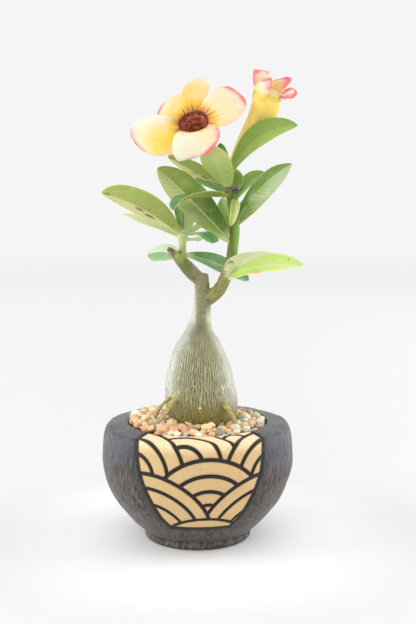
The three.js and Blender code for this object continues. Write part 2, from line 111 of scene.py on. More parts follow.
def grain(tree, scale, detail=4.0, stretch=(1, 1, 1), roughness=0.6):
    """A noise from 0 to 1, in turns per metre, on the piece's own coordinates."""
    place = wire(tree, "ShaderNodeTexCoord", {}, output=3)
    place = wire(tree, "ShaderNodeMapping", {"Vector": place, "Scale": stretch})
    inputs = {"Vector": place, "Scale": scale, "Detail": detail, "Roughness": roughness}
    return wire(tree, "ShaderNodeTexNoise", inputs)


def coat_with(tree, colour, height=None, depth=0.0, roughness=None):
    """Links a colour, and a relief depth metres deep, to the shader."""
    shader = tree.nodes["Principled BSDF"]
    tree.links.new(colour, shader.inputs["Base Color"])
    if roughness is not None:
        tree.links.new(roughness, shader.inputs["Roughness"])
    if height is not None:
        bump = wire(tree, "ShaderNodeBump", {"Height": height, "Distance": depth, "Strength": 1.0})
        tree.links.new(bump, shader.inputs["Normal"])


def link_piece(mesh_name, mesh, finishes):
    """A smooth-shaded object at the origin from a finished bmesh."""
    data = bpy.data.meshes.new(mesh_name)
    mesh.to_mesh(data)
    mesh.free()
    for finish in finishes:
        data.materials.append(finish)
    data.shade_smooth()
    made = bpy.data.objects.new(mesh_name, data)
    bpy.context.scene.collection.objects.link(made)
    return made


table_finish, tree = new_finish("white table", 0.7)
place = wire(tree, "ShaderNodeTexCoord", {}, output=3)
reach = wire(tree, "ShaderNodeVectorMath", {0: place}, output=1, operation="LENGTH")
# Painted light and shade: the table's tones in rings round the pot, set against its shadow and the lamps'
# fall-off.
colour = from_screen(*TABLE_TONES_AGAINST_SHADE["round"])
for ring in ("far", "end", "under"):
    colour = mixed(tree, ramp(tree, reach, *TABLE_RINGS[ring]), colour, from_screen(*TABLE_TONES_AGAINST_SHADE[ring]))
cloudy = maths(tree, "MULTIPLY", grain(tree, 30), 0.05)
coat_with(tree, mixed(tree, cloudy, colour, (0.7, 0.7, 0.72, 1)))
table_mesh = bmesh.new()
bmesh.ops.create_grid(table_mesh, x_segments=2, y_segments=2, size=TABLE_SIZE / 2)
table = link_piece("table", table_mesh, [table_finish])

camera = bpy.data.objects.new("camera", bpy.data.cameras.new("camera"))
camera.data.lens = CAMERA_LENS
camera.location = CAMERA_AT
camera.rotation_euler = (math.pi / 2 - CAMERA_PITCH, 0, 0)
bpy.context.scene.collection.objects.link(camera)
bpy.context.scene.camera = camera

for lamp_name, lamp in LAMPS.items():
    data = bpy.data.lights.new(lamp_name, "AREA")
    data.size = lamp["size"]
    data.energy = lamp["power"]
    lamp_object = bpy.data.objects.new(lamp_name, data)
    lamp_object.location = lamp["at"]
    aim = LAMP_TARGET - lamp_object.location
    lamp_object.rotation_euler = aim.to_track_quat("-Z", "Y").to_euler()
    bpy.context.scene.collection.objects.link(lamp_object)

sky = bpy.data.worlds.new("white sky")
sky.use_nodes = True
sky.node_tree.nodes["Background"].inputs["Color"].default_value = (1, 1, 1, 1)
sky.node_tree.nodes["Background"].inputs["Strength"].default_value = SKY_STRENGTH
bpy.context.scene.world = sky
bpy.context.scene.view_settings.view_transform = "Standard"

# ---- The pot ----
# One thrown piece of dark stoneware: a belly on a small foot, with a broad sloping rim. A panel
# of overlapping wave fans is cut through a coat of cream slip at the front, over the rim and
# down the side, and the rest is left rough, brushed up and down.
POT_FOOT = [[20, 0], [28.5, 0], [30, 0.6], [30.3, 2], [29.5, 4.2], [30.8, 5.3]]  # radius, height
POT_BELLY = [[36, 9.5], [42.5, 17], [48, 25], [51.5, 33], [53.5, 41], [54, 48], [53.6, 55],
             [52.5, 61], [51.6, 63.7], [50.2, 64.9], [45, 65.7], [40.3, 66.2], [39.4, 65.6]]
POT_INSIDE = [[39.3, 62], [42.5, 58], [45.5, 49], [44.5, 40], [39, 26], [30, 14.5], [20, 9]]
POT_FLOOR = 9
BELLY_RADIUS = 54
FINE_STEP = 0.5  # between rings and columns where the fans are cut
ROUGH_STEP = 1.2
DRAIN_RADIUS = 3.6
DRAIN_CIRCLE = 12
PANEL_MIDDLE = math.radians(2.4)  # round the pot from the front
# Half the panel's angle, in degrees, at distances down from the edge of the mouth.
PANEL_DOWN = [0, 12, 28, 39, 47, 55, 59, 64]
PANEL_HALF = [43.6, 40.6, 36.8, 33, 29.8, 26.8, 24.4, 21]
PANEL_END = 63
PANEL_SPAN = math.radians(46)  # to either side of its middle the pot's skin is finely divided
FIELD_CAP = 9  # the farthest that a spot's distance from a line or the border is kept
FAR_OFF = 1e3  # stands for a distance that doesn't matter
LINE_WIDTH = 2.1
LINE_DEPTH = 0.75
SLIP_THICKNESS = 0.15
SLIP_ROUGHNESS = 0.06  # depth of its brush marks
BRUSH_DEPTH = 0.22  # of the bare clay
DIMPLE_DEPTH = 0.3
BRUSHED_TO = (62, 68)  # down from the mouth, where the brushing fades out above the foot
# Wave fans, the ones in front first: centre across and down on the unrolled panel, and radii.
FANS = [
    (3, -93, (38, 30, 21.5, 12)),
    (-31, -67, (38, 30, 20.5, 11)),
    (38, -68, (38, 30, 20.5, 11)),
    (4.2, -52, (32, 23.5, 15, 7)),
    (-38, -31, (29.5, 20.3, 12, 4)),
    (41, -33, (29, 21, 13.2, 5)),
    (-9, -23.5, (29, 20, 10.3)),
    (22.5, -10.5, (9,)),
    (-24, -6, (9,)),
]


def smooth_path(points, step):
    """A smooth curve through the points as a list about step apart."""
    points = [np.array(p, float) for p in points]
    ends = [2 * points[0] - points[1]] + points + [2 * points[-1] - points[-2]]
    path = []
    for a, b, c, d in zip(ends, ends[1:], ends[2:], ends[3:]):
        count = max(1, round(float(np.linalg.norm(c - b)) / step))
        square, cube = 2 * a - 5 * b + 4 * c - d, 3 * (b - c) + d - a
        for i in range(count):
            t = i / count
            path.append(b + 0.5 * t * (c - a + t * (square + t * cube)))
    return path + [points[-1]]


def own_axes(tree):
    """x, y and z of the spot on the piece, in millimetres."""
    place = wire(tree, "ShaderNodeTexCoord", {}, output=3)
    place = wire(tree, "ShaderNodeVectorMath", {0: place, 3: 1000.0}, operation="SCALE")
    return [wire(tree, "ShaderNodeSeparateXYZ", {0: place}, output=k) for k in range(3)]


def fan_lines(across, down):
    """How far a spot on the panel is from the middle of the nearest cut line, in millimetres."""
    nearest = np.full(across.shape, FAR_OFF)
    open_ground = np.ones(across.shape, bool)
    for centre_x, centre_y, radii in FANS:
        away = np.hypot(across - centre_x, -down - centre_y)
        for radius in radii:
            seen = open_ground & ((radius == radii[0]) | (away < radii[0]))
            nearest = np.where(seen, np.minimum(nearest, abs(away - radius)), nearest)
        open_ground &= away > radii[0]
    return nearest


def eased(value, low, high):
    """0 below low and 1 above high, with a soft start and end between them."""
    share = np.clip((value - low) / (high - low), 0, 1)
    return share * share * (3 - 2 * share)


def pot_columns():
    """The directions round the pot where a column of faces starts: close together on the panel."""
    fine = round(2 * PANEL_SPAN * BELLY_RADIUS / FINE_STEP)
    directions = [PANEL_MIDDLE - PANEL_SPAN + 2 * PANEL_SPAN * i / fine for i in range(fine)]
    rest = 2 * math.pi - 2 * PANEL_SPAN
    rough = round(rest * BELLY_RADIUS / ROUGH_STEP)
    return directions + [PANEL_MIDDLE + PANEL_SPAN + rest * i / rough for i in range(rough + 1)]


def drain_middle(k, level):
    """The centre of one of the three drain holes at a height in millimetres, itself in metres."""
    turn = math.pi / 2 + k * 2 * math.pi / 3
    return Vector((DRAIN_CIRCLE * math.cos(turn), DRAIN_CIRCLE * math.sin(turn), level)) * MM


foot = smooth_path(POT_FOOT, 1.2)[:-1]
belly = smooth_path([POT_FOOT[-1]] + POT_BELLY, FINE_STEP)
inside = smooth_path([POT_BELLY[-1]] + POT_INSIDE, 3)[1:]
rings = foot + belly + inside
columns = pot_columns()
steps_along = [0] + [float(np.linalg.norm(b - a)) for a, b in zip(rings, rings[1:])]
along = np.cumsum(steps_along)
down_from_mouth = along[len(foot) + len(belly) - 1] - along

shape = bmesh.new()
bmesh.ops.create_grid(shape, x_segments=len(columns) - 1, y_segments=len(rings) - 1, size=1)
shape.verts.ensure_lookup_table()
line_layer = shape.verts.layers.float.new("line")
slip_layer = shape.verts.layers.float.new("slip")
half_line = LINE_WIDTH / 2
for vertex in shape.verts:
    column = round((vertex.co.x + 1) / 2 * (len(columns) - 1))
    row = round((vertex.co.y + 1) / 2 * (len(rings) - 1))
    radius, height = rings[row]
    before, after = rings[max(row - 1, 0)], rings[min(row + 1, len(rings) - 1)]
    slope = (after - before) / max(1e-9, float(np.linalg.norm(after - before)))
    turn, down = columns[column], float(down_from_mouth[row])
    edge = -FAR_OFF  # how far inside the panel's border, less than 0 outside it
    line = FAR_OFF
    off = (turn - PANEL_MIDDLE + math.pi) % (2 * math.pi) - math.pi
    if -1 < down < PANEL_END + 3 and abs(off) < math.radians(50):  # on the panel or close to it
        half_angle = math.radians(float(np.interp(down, PANEL_DOWN, PANEL_HALF)))
        edge = min((half_angle - abs(off)) * radius, PANEL_END - down)
        lines = fan_lines(np.array(off * BELLY_RADIUS), np.array(down))
        line = min(0.8 * abs(edge), float(lines) if edge > 0 else FAR_OFF)
    vertex[line_layer] = min(line, FIELD_CAP) * MM
    vertex[slip_layer] = max(-FIELD_CAP, min(edge, FIELD_CAP)) * MM
    spot = Vector((radius * math.sin(turn), -radius * math.cos(turn), height))
    push = 0.0
    if down > -3:
        cut = 1 - float(eased(line, half_line * 0.45, half_line * 1.1))
        brushed = noise.fractal(Vector((spot.x / 2.4, spot.y / 2.4, height / 6)), 0.8, 2.1, 4)
        dimples = noise.noise(spot / 9)
        if edge > 0:
            push = SLIP_THICKNESS + SLIP_ROUGHNESS * brushed - (LINE_DEPTH + SLIP_THICKNESS) * cut
        else:
            push = BRUSH_DEPTH * brushed + DIMPLE_DEPTH * dimples - LINE_DEPTH * cut
        push *= 1 - float(eased(down, *BRUSHED_TO))
    radius += push * slope[1]
    height -= push * slope[0]
    vertex.co = Vector((radius * math.sin(turn), -radius * math.cos(turn), max(height, 0))) * MM
bmesh.ops.remove_doubles(shape, verts=shape.verts, dist=0.00002)

# The underside and the floor are flat, with three drain holes between them.
for level in (0, POT_FLOOR):
    borders = [e for e in shape.edges if e.is_boundary]
    open_edges = [e for e in borders if abs(e.verts[0].co.z - level * MM) < 1e-5]
    for k in range(3):
        place = Matrix.Translation(drain_middle(k, level))
        ring = bmesh.ops.create_circle(shape, segments=24, radius=DRAIN_RADIUS * MM, matrix=place)
        open_edges += dict.fromkeys(e for v in ring["verts"] for e in v.link_edges)
    bmesh.ops.triangle_fill(shape, edges=open_edges, use_beauty=True, use_dissolve=False)
hole_edges = [e for e in shape.edges if e.is_boundary]
for k in range(3):
    middle = drain_middle(k, 0).xy
    walls = [e for e in hole_edges if (e.verts[0].co.xy - middle).length < 1.1 * DRAIN_RADIUS * MM]
    bmesh.ops.bridge_loops(shape, edges=walls)
bmesh.ops.recalc_face_normals(shape, faces=shape.faces)

stoneware, tree = new_finish("dark stoneware with cut cream slip", 0.45, Sheen_Weight=0.14,
                             Sheen_Roughness=0.35)
line_at = wire(tree, "ShaderNodeAttribute", {}, output=2, attribute_name="line")
slip_at = wire(tree, "ShaderNodeAttribute", {}, output=2, attribute_name="slip")
streaks = grain(tree, 700, detail=6, stretch=(1, 1, 0.16), roughness=0.7)
patches = grain(tree, 60, detail=3)
z = own_axes(tree)[2]
clay = mixed(tree, ramp(tree, streaks, 0.4, 0.68), from_screen(30, 27, 26), from_screen(112, 99, 86))
# On the shoulders, patches are glossier and painted bluish grey: a painted sheen, the reflection they
# catch.
sheen_patches = maths(tree, "MULTIPLY", ramp(tree, patches, 0.3, 0.6), ramp(tree, z, 36, 60))
clay = mixed(tree, maths(tree, "MULTIPLY", sheen_patches, 0.65), clay, from_screen(66, 74, 90))
# Painted shade: the bare clay is painted darker towards the panel, in the middle of the front, away from
# the side light.
clay = mixed(tree, ramp(tree, slip_at, -0.009, -0.001, 0, 0.55), clay, from_screen(34, 29, 25))
speckle = grain(tree, 900, detail=2)
slip = mixed(tree, grain(tree, 90), from_screen(216, 186, 134), from_screen(202, 168, 116))
# Painted highlight: the slip is painted paler near the rim, where it turns up to face the light.
slip = mixed(tree, ramp(tree, z, 58, 65), slip, from_screen(244, 222, 176))
slip = mixed(tree, ramp(tree, speckle, 0.58, 0.72, 0, 0.45), slip, from_screen(168, 128, 84))
# Beside the cut lines the slip turns browner: partly worn slip and partly painted shade at the groove
# edges.
slip = mixed(tree, ramp(tree, line_at, 0.0019, 0.0012, 0, 0.6), slip, from_screen(196, 152, 98))
in_line = ramp(tree, line_at, LINE_WIDTH * 0.62 * MM, LINE_WIDTH * 0.42 * MM)
wandering = maths(tree, "ADD", slip_at, maths(tree, "MULTIPLY", speckle, 0.0002))
on_slip = ramp(tree, wandering, 0.0, 0.0002)
cut_clay = mixed(tree, streaks, from_screen(20, 19, 20), from_screen(48, 44, 42))
colour = mixed(tree, in_line, mixed(tree, on_slip, clay, slip), cut_clay)
roughness = maths(tree, "MULTIPLY_ADD", sheen_patches, -0.12, ramp(tree, on_slip, 0, 1, 0.42, 0.75))
coat_with(tree, colour, streaks, 0.0006, roughness)

pot = link_piece("stoneware_pot", shape, [stoneware])
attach(pot, "root")
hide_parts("pot")

# ---- The potting mix ----
# Dark damp compost that fills the pot up to the pebbles. It is the frame's own solid, with a
# crumbly finish, and hardly shows.
compost, tree = new_finish("damp compost", 0.9)
crumbs = grain(tree, 500, detail=6)
coat_with(tree, mixed(tree, crumbs, from_screen(38, 28, 20), from_screen(96, 74, 54)), crumbs, 0.001)
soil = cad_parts["soil"]
soil.data.materials.clear()
soil.data.materials.append(compost)

# ---- The pebble mulch ----
# Washed river gravel, four to eight millimetres, cream, peach, rose and grey, poured round the
# stem in two layers up to the edge of the mouth. The lower pebbles are set in a thin dark bed.
BED_RADIUS = 38.4
BED_TOP = 63.6
STEM_FREE_RADIUS = 17
PEBBLE_LAYERS = [{"count": 125, "lift": 0.2, "seed": 5}, {"count": 150, "lift": 2.4, "seed": 8}]
PEBBLE_SIZES = (2.0, 4.0)  # smallest and largest half length
PEBBLE_GAP = 0.78  # how near two middles may be, as a share of the half lengths together
PEBBLE_TRIES = 20000
MOUND = 2.6  # how much higher the pebbles lie at the stem than at the rim
PEBBLE_COLOURS = [(240, 212, 164), (238, 196, 148), (230, 172, 124), (246, 226, 190),
                  (226, 174, 138), (228, 200, 146), (192, 176, 148), (214, 168, 140),
                  (248, 240, 222), (160, 152, 130), (234, 206, 156), (212, 160, 100),
                  (240, 204, 150), (244, 214, 170), (204, 190, 160)]
PEBBLE_GREYS = [(186, 176, 148), (152, 146, 124), (208, 198, 170), (172, 150, 112), (240, 234, 216)]
LEFT_HEAP = 2.0  # how much higher the pebbles are heaped at the left edge

shape = bmesh.new()
tint = shape.loops.layers.float_color.new("tint")
bmesh.ops.create_cone(shape, cap_ends=True, segments=48, radius1=BED_RADIUS * MM,
                      radius2=(BED_RADIUS - 0.6) * MM, depth=1.6 * MM,
                      matrix=Matrix.Translation(Vector((0, 0, BED_TOP - 0.2)) * MM))
for face in shape.faces:
    for corner in face.loops:
        corner[tint] = from_screen(96, 76, 58)
for layer in PEBBLE_LAYERS:
    rng = random.Random(layer["seed"])
    taken = []
    tries = 0
    while len(taken) < layer["count"] and tries < PEBBLE_TRIES:
        tries += 1
        size = PEBBLE_SIZES[0] + rng.random() ** 1.4 * (PEBBLE_SIZES[1] - PEBBLE_SIZES[0])
        reach = math.sqrt(rng.uniform(STEM_FREE_RADIUS**2, (BED_RADIUS - size * 0.6) ** 2))
        turn = rng.uniform(0, 2 * math.pi)
        x, y = reach * math.cos(turn), reach * math.sin(turn)
        if any(math.hypot(x - a, y - b) < PEBBLE_GAP * (size + c) for a, b, c in taken):
            continue
        taken.append((x, y, size))
        mound = MOUND * (1 - reach / BED_RADIUS)
        heap = LEFT_HEAP * float(eased(-x, 8, 30))
        height = BED_TOP + mound + heap + layer["lift"] + rng.uniform(-0.3, 0.5)
        spin = Matrix.Rotation(rng.uniform(0, 6.3), 4, "Z")
        spin @= Matrix.Rotation(rng.uniform(-0.5, 0.5), 4, "X")
        stretch = Matrix.Diagonal((size, size * rng.uniform(0.75, 0.95), size * rng.uniform(0.6, 0.8), 1))
        place = Matrix.Scale(MM, 4) @ Matrix.Translation((x, y, height)) @ spin @ stretch
        ball = bmesh.ops.create_icosphere(shape, subdivisions=2, radius=1)
        seed = Vector((len(taken) * 7.1, layer["seed"], 0))
        for vertex in ball["verts"]:
            vertex.co *= 1 + 0.42 * noise.noise(vertex.co * 1.1 + seed)
            vertex.co = place @ vertex.co
        greyer = rng.random() < 0.55 * float(eased(x, 0, 24))
        chosen = from_screen(*rng.choice(PEBBLE_GREYS if greyer else PEBBLE_COLOURS))
        shade = rng.uniform(0.85, 1.12)
        for face in {f for v in ball["verts"] for f in v.link_faces}:
            for corner in face.loops:
                corner[tint] = (*(min(1, c * shade) for c in chosen[:3]), 1)

gravel_finish, tree = new_finish("river gravel", 0.5)
own_tint = wire(tree, "ShaderNodeAttribute", {}, output=0, attribute_name="tint")
mottle = grain(tree, 700, detail=5)
veins = grain(tree, 260, detail=3, stretch=(1, 1, 2.5))
colour = mixed(tree, ramp(tree, mottle, 0.5, 0.75, 0, 0.45), own_tint, from_screen(184, 134, 98))
colour = mixed(tree, ramp(tree, veins, 0.55, 0.7, 0, 0.5), colour, from_screen(250, 238, 216))
coat_with(tree, colour, mottle, 0.0003)
gravel = link_piece("pebble_mulch", shape, [gravel_finish])
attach(gravel, "root")
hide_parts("gravel")

# ---- The swollen stem, its roots, branches and green shoots ----
# One grown body, smooth where the limbs run together. The swollen part has a silvery skin drawn
# into a net of fine upright ridges, the branches have bark with leaf scars, the shoots are green.
# Rows of x, y, z and radius, from the thick end to the thin one.
SWOLLEN_STEM = [
    [3.3, 0, 48, 7], [3.3, 0, 54, 13.5], [3.3, 0, 60, 17], [3.3, 0, 66, 18.7], [3.0, 0, 72, 19.9],
    [2.1, 0, 79, 20.3], [1.3, 0, 86, 19.7], [1.0, 0, 95, 18.0], [0.6, 0, 104, 15.2],
    [0.8, 0, 111, 12.0], [1.0, 0, 117.5, 7.9], [1.9, 0, 124.5, 5.7], [2.6, 0, 134, 4.7],
    [2.5, 0, 141, 4.2], [2.4, 0, 146, 4.0], [3.0, 0, 150, 3.2]]
LEFT_BRANCH = [
    [2.4, 0, 145, 3.6], [-3.2, -0.5, 150.5, 3.9], [-7.2, -1, 155, 3.7], [-10.8, -1.6, 159, 3.0],
    [-13.6, -2, 161.6, 1.9], [-16.4, -2.4, 164, 1.0]]
LEFT_SHOOT = [
    [-8.6, -1.2, 156, 2.6], [-8.3, -1, 162, 2.1], [-8.4, -1, 167, 2.2], [-8.4, -1, 171, 2.9],
    [-8.4, -1, 173.2, 2.0]]
RIGHT_BRANCH = [
    [2.6, 0, 133, 3.6], [6.5, -0.8, 136, 3.9], [11.2, -1.8, 139.8, 3.8], [14.2, -2.5, 144.5, 3.5],
    [16.4, -2.8, 150, 3.4], [18.4, -2.6, 156, 3.1], [19.6, -2, 164, 3.0], [20.5, -1.3, 173, 3.0],
    [20.3, -1, 184, 2.9], [19.4, -1, 190, 3.3], [18.9, -1, 195.5, 3.2]]
FLOWERING_TIP = [[18.9, -1, 191, 2.6], [17.2, -1, 196, 2.6], [16.8, 0, 200, 2.3], [17, 0.6, 204, 1.6]]
CUT_STUB = [[19.6, -1.6, 190.5, 2.4], [20.3, -3, 194, 2.5], [20.8, -4.2, 197, 2.3]]
ROOTS = [
    [[-6, -9, 88, 3], [-10.2, -14.6, 83.5, 2.4], [-14.5, -17.4, 78.5, 1.5], [-18.5, -20.4, 73, 1.1],
     [-23, -22.6, 69.2, 1.0], [-27, -24, 66, 0.9]],
    [[-10, -13, 84, 1.6], [-16, -12.6, 81, 1.1], [-20.6, -10.5, 76, 1.0], [-23.5, -9, 70, 1.0],
     [-25.5, -8, 64, 1.0]],
    [[9, -10, 84, 3], [13.5, -14.6, 80, 2.2], [17.3, -17.4, 75.5, 1.5], [20.4, -18.8, 70.5, 1.3],
     [22.8, -19.8, 65, 1.2]],
    [[10, 12, 80, 3], [16, 19, 74, 1.9], [20, 24, 66, 1.4]]]
SKIN_CELL = 0.4  # size of the faces of the grown skin
SKIN_PASSES = 5  # of smoothing, which rounds the forks
LUMP_DEPTH = 0.35
FOLD_DEPTH = 0.1
BARK_DEPTH = {"neck": 0.12, "foot": 0.35, "stub": 0.9, "dead tip": 0.5}
SCAR_RIM = (0.45, 1.5)  # height and radius of the swelling round a leaf scar
SCAR_PIT = (0.5, 0.7)  # depth and radius of its middle
STEM_AXIS = 2.0  # its x where the stem is thickest
BODY_RADIUS = (20.4, 21.6)  # of the swollen part, and from where there are only roots
NET_LINES = 84  # upright ridges each way round the stem
NET_RISE = 2 * math.pi / 17  # they lean by the width of one ridge in 17 mm of height
NET_TOP = (112, 126)  # where the net fades out on the neck
LEAF_SCARS = [(1.0, -5, 121.5), (-2.6, -5, 117), (-6.5, -4.5, 157), (-2, -4, 147.5), (6, -4, 135.5),
              (10.5, -5, 143.5), (15, -5.5, 150.5), (5.5, -1, 143.5), (17, -4.5, 157), (-9.5, -3, 162)]
STUB_END = (20.8, -4.2, 196.5)  # where the pruned shoot has dried out and crumbled
# Painted shade: dark spots on the stem in the nook behind the right root.
ROOT_SHADE_SPOTS = [(16.6, -10.4, 75.6), (15.9, -11.2, 73.2), (17.4, -10.6, 69.8), (18.2, -9.6, 67.4),
             (14.2, -13.4, 76.8)]
WHITE_FLECK = (1.4, -19.9, 77.4)  # a dried scrap of skin
LEAF_CLASP = (19.0, -5.0, 151.5)  # pale bark round the foot of a leaf


def near(tree, axes, centre, radius):
    """1 at a spot given in millimetres, and 0 from radius away from it."""
    place = wire(tree, "ShaderNodeCombineXYZ", dict(enumerate(axes)))
    gap = wire(tree, "ShaderNodeVectorMath", {0: place, 1: centre}, output=1, operation="DISTANCE")
    return ramp(tree, gap, radius, 0.55 * radius)


def add_tube(mesh, rows, sides, wall=0.0):
    """A tube through rows of x, y, z and radius, closed at both ends. With a wall it is hollow
    and open at the far end."""
    rows = [[float(number) for number in row] for row in rows]
    across = Vector((0, 0, 1))
    if abs((Vector(rows[1][:3]) - Vector(rows[0][:3])).normalized().x) < 0.8:
        across = Vector((1, 0, 0))
    frames = []
    for k, row in enumerate(rows):
        before, after = rows[max(k - 1, 0)], rows[min(k + 1, len(rows) - 1)]
        along = (Vector(after[:3]) - Vector(before[:3])).normalized()
        across = (across - across.dot(along) * along).normalized()
        frames.append((Vector(row[:3]), across.copy(), along.cross(across)))
    last = len(rows) - 1
    rings = [(0, 0.0)] + [(k, rows[k][3]) for k in range(last + 1)]
    if wall:
        rings += [(k, rows[k][3] - wall) for k in range(last, 0, -1)] + [(1, 0.0)]
    else:
        rings.append((last, 0.0))
    made = bmesh.ops.create_grid(mesh, x_segments=sides, y_segments=len(rings) - 1, size=1)
    for vertex in made["verts"]:
        turn = math.pi * (vertex.co.x + 1)
        k, radius = rings[round((vertex.co.y + 1) / 2 * (len(rings) - 1))]
        centre, across, other = frames[k]
        vertex.co = (centre + radius * (across * math.cos(turn) + other * math.sin(turn))) * MM
    bmesh.ops.remove_doubles(mesh, verts=made["verts"], dist=0.000002)


shape = bmesh.new()
limbs = [(SWOLLEN_STEM, 96), (LEFT_BRANCH, 32), (LEFT_SHOOT, 24), (RIGHT_BRANCH, 32),
         (FLOWERING_TIP, 24), (CUT_STUB, 24)] + [(root, 16) for root in ROOTS]
for rows, sides in limbs:
    add_tube(shape, smooth_path(rows, 1.0), sides)
bmesh.ops.recalc_face_normals(shape, faces=shape.faces)
rough_growth = link_piece("rough_growth", shape, [])
grown_together = rough_growth.modifiers.new("grown together", "REMESH")
grown_together.mode = "VOXEL"
grown_together.voxel_size = SKIN_CELL * MM
bpy.context.view_layer.update()
shape = bmesh.new()
shape.from_object(rough_growth, bpy.context.evaluated_depsgraph_get())
bpy.data.objects.remove(rough_growth)
for i in range(SKIN_PASSES):
    bmesh.ops.smooth_vert(shape, verts=shape.verts, factor=0.5, use_axis_x=True, use_axis_y=True,
                          use_axis_z=True)
shape.normal_update()
for vertex in shape.verts:
    x, y, z = vertex.co / MM
    lumps = LUMP_DEPTH * noise.noise(Vector((x / 7, y / 7, z / 12)))
    on_neck = float(eased(z, *NET_TOP))
    on_foot = float(eased(-z, -72, -64))
    folds = noise.fractal(Vector((x / 1.1, y / 1.1, z / 3.5)), 0.7, 2.0, 3)
    bark = noise.fractal(Vector((x / 1.8, y / 1.8, z / 1.2)), 0.8, 2.0, 3)
    on_stub = math.exp(-((Vector(STUB_END) - Vector((x, y, z))).length / 2.6) ** 4)
    on_dead_tip = float(eased(-x, 11, 13.5)) * on_neck
    on_body = 1 - float(eased(math.hypot(x - STEM_AXIS, y), *BODY_RADIUS))
    push = lumps * (1 - 0.6 * on_neck) * on_body
    push += FOLD_DEPTH * on_body * folds * (1 - on_neck) * (1 - 0.5 * on_foot)
    push += BARK_DEPTH["neck"] * bark * on_neck * (1 - float(eased(z, 158, 170)))
    push += BARK_DEPTH["foot"] * bark * on_foot
    push += (BARK_DEPTH["stub"] * bark + 0.5) * on_stub
    push += BARK_DEPTH["dead tip"] * bark * on_dead_tip
    for scar in LEAF_SCARS:
        away = (Vector(scar) - Vector((x, y, z))).length
        if away < 3.2:
            push += SCAR_RIM[0] * math.exp(-(away / SCAR_RIM[1]) ** 2)
            push -= SCAR_PIT[0] * math.exp(-(away / SCAR_PIT[1]) ** 2)
    vertex.co += vertex.normal * push * MM

skin, tree = new_finish("grown skin and bark", 0.5, Sheen_Weight=0.25, Sheen_Roughness=0.4)
x, y, z = own_axes(tree)
from_middle = maths(tree, "SUBTRACT", x, STEM_AXIS)
turn = maths(tree, "ARCTAN2", from_middle, maths(tree, "MULTIPLY", y, -1.0))
lean = maths(tree, "MULTIPLY", z, NET_RISE)
net_sides = []
for sign in (1, -1):
    wave = maths(tree, "MULTIPLY", grain(tree, 170, detail=2, stretch=(1, sign, 0.45)), 24.0)
    leaning = maths(tree, "MULTIPLY_ADD", lean, sign, wave)
    net_sides.append(maths(tree, "SINE", maths(tree, "MULTIPLY_ADD", turn, NET_LINES, leaning)))
net = ramp(tree, maths(tree, "MAXIMUM", *net_sides), -0.2, 1.0)
body_net = maths(tree, "MULTIPLY", net, ramp(tree, z, *NET_TOP, 1, 0))
flat_place = wire(tree, "ShaderNodeCombineXYZ", {0: from_middle, 1: y})
from_axis = wire(tree, "ShaderNodeVectorMath", {0: flat_place}, output=1, operation="LENGTH")
body_net = maths(tree, "MULTIPLY", body_net, ramp(tree, from_axis, 21.4, 20.4))
blotches = grain(tree, 110, detail=4)
fine = grain(tree, 900, detail=5)
# The skin is greener towards the front and paler at both sides: partly its own tone and partly a painted
# highlight where the side lamps catch it.
front_against_lit_sides = maths(tree, "MULTIPLY_ADD", blotches, 0.5, maths(tree, "COSINE", turn))
front_against_lit_sides = ramp(tree, front_against_lit_sides, 0.7, 1.2)  # greener towards the front
furrow = mixed(tree, front_against_lit_sides, from_screen(184, 188, 158), from_screen(96, 90, 42))
furrow = mixed(tree, ramp(tree, blotches, 0.42, 0.68, 0, 0.6), furrow, from_screen(132, 142, 96))
ridge = mixed(tree, front_against_lit_sides, from_screen(236, 237, 222), from_screen(170, 166, 126))
colour = mixed(tree, body_net, furrow, ridge)
base_share = ramp(tree, maths(tree, "MULTIPLY_ADD", blotches, 9.0, z), 90, 76)
base = mixed(tree, ramp(tree, fine, 0.35, 0.7), from_screen(110, 92, 22), from_screen(160, 156, 80))
colour = mixed(tree, maths(tree, "MULTIPLY", base_share, 0.92), colour, base)
root = mixed(tree, ramp(tree, fine, 0.35, 0.7), from_screen(140, 130, 58), from_screen(196, 190, 120))
colour = mixed(tree, ramp(tree, from_axis, 20.4, 21.8), colour, root)
bark = mixed(tree, ramp(tree, fine, 0.3, 0.75), from_screen(112, 108, 72), from_screen(146, 144, 108))
# Painted highlights: the neck is painted pale on its left and right flanks, where the side lamps catch it.
left_painted_highlight = maths(tree, "MULTIPLY", ramp(tree, x, 0.2, -2.2), ramp(tree, z, 146, 134))
right_painted_highlight = maths(tree, "MULTIPLY", ramp(tree, x, 3.6, 6.6), ramp(tree, z, 132, 124))
bark = mixed(tree, maths(tree, "MULTIPLY", left_painted_highlight, 0.8), bark, from_screen(206, 208, 190))
bark = mixed(tree, maths(tree, "MULTIPLY", right_painted_highlight, 0.8), bark, from_screen(206, 212, 178))
neck_share = ramp(tree, maths(tree, "MULTIPLY_ADD", blotches, 14.0, z), 121, 132)
colour = mixed(tree, neck_share, colour, bark)
branch = mixed(tree, ramp(tree, fine, 0.3, 0.75), from_screen(118, 114, 52), from_screen(150, 152, 88))
branch = mixed(tree, ramp(tree, x, 1, -3, 0, 0.8), branch, from_screen(98, 102, 46))
branch = mixed(tree, ramp(tree, blotches, 0.55, 0.72, 0, 0.8), branch, from_screen(98, 84, 44))
branch_share = ramp(tree, maths(tree, "ABSOLUTE", from_middle), 3.5, 6.5)
branch_share = maths(tree, "MULTIPLY", branch_share, ramp(tree, z, 128, 134))
colour = mixed(tree, branch_share, colour, branch)
green = mixed(tree, ramp(tree, x, 19.2, 21.0), from_screen(98, 106, 36), from_screen(112, 150, 56))
shoot = mixed(tree, ramp(tree, z, 162, 168), from_screen(150, 166, 84), from_screen(186, 198, 130))
green = mixed(tree, ramp(tree, x, 2, -2), green, shoot)
green_share = ramp(tree, maths(tree, "MULTIPLY_ADD", blotches, 8.0, z), 158, 166)
colour = mixed(tree, green_share, colour, green)
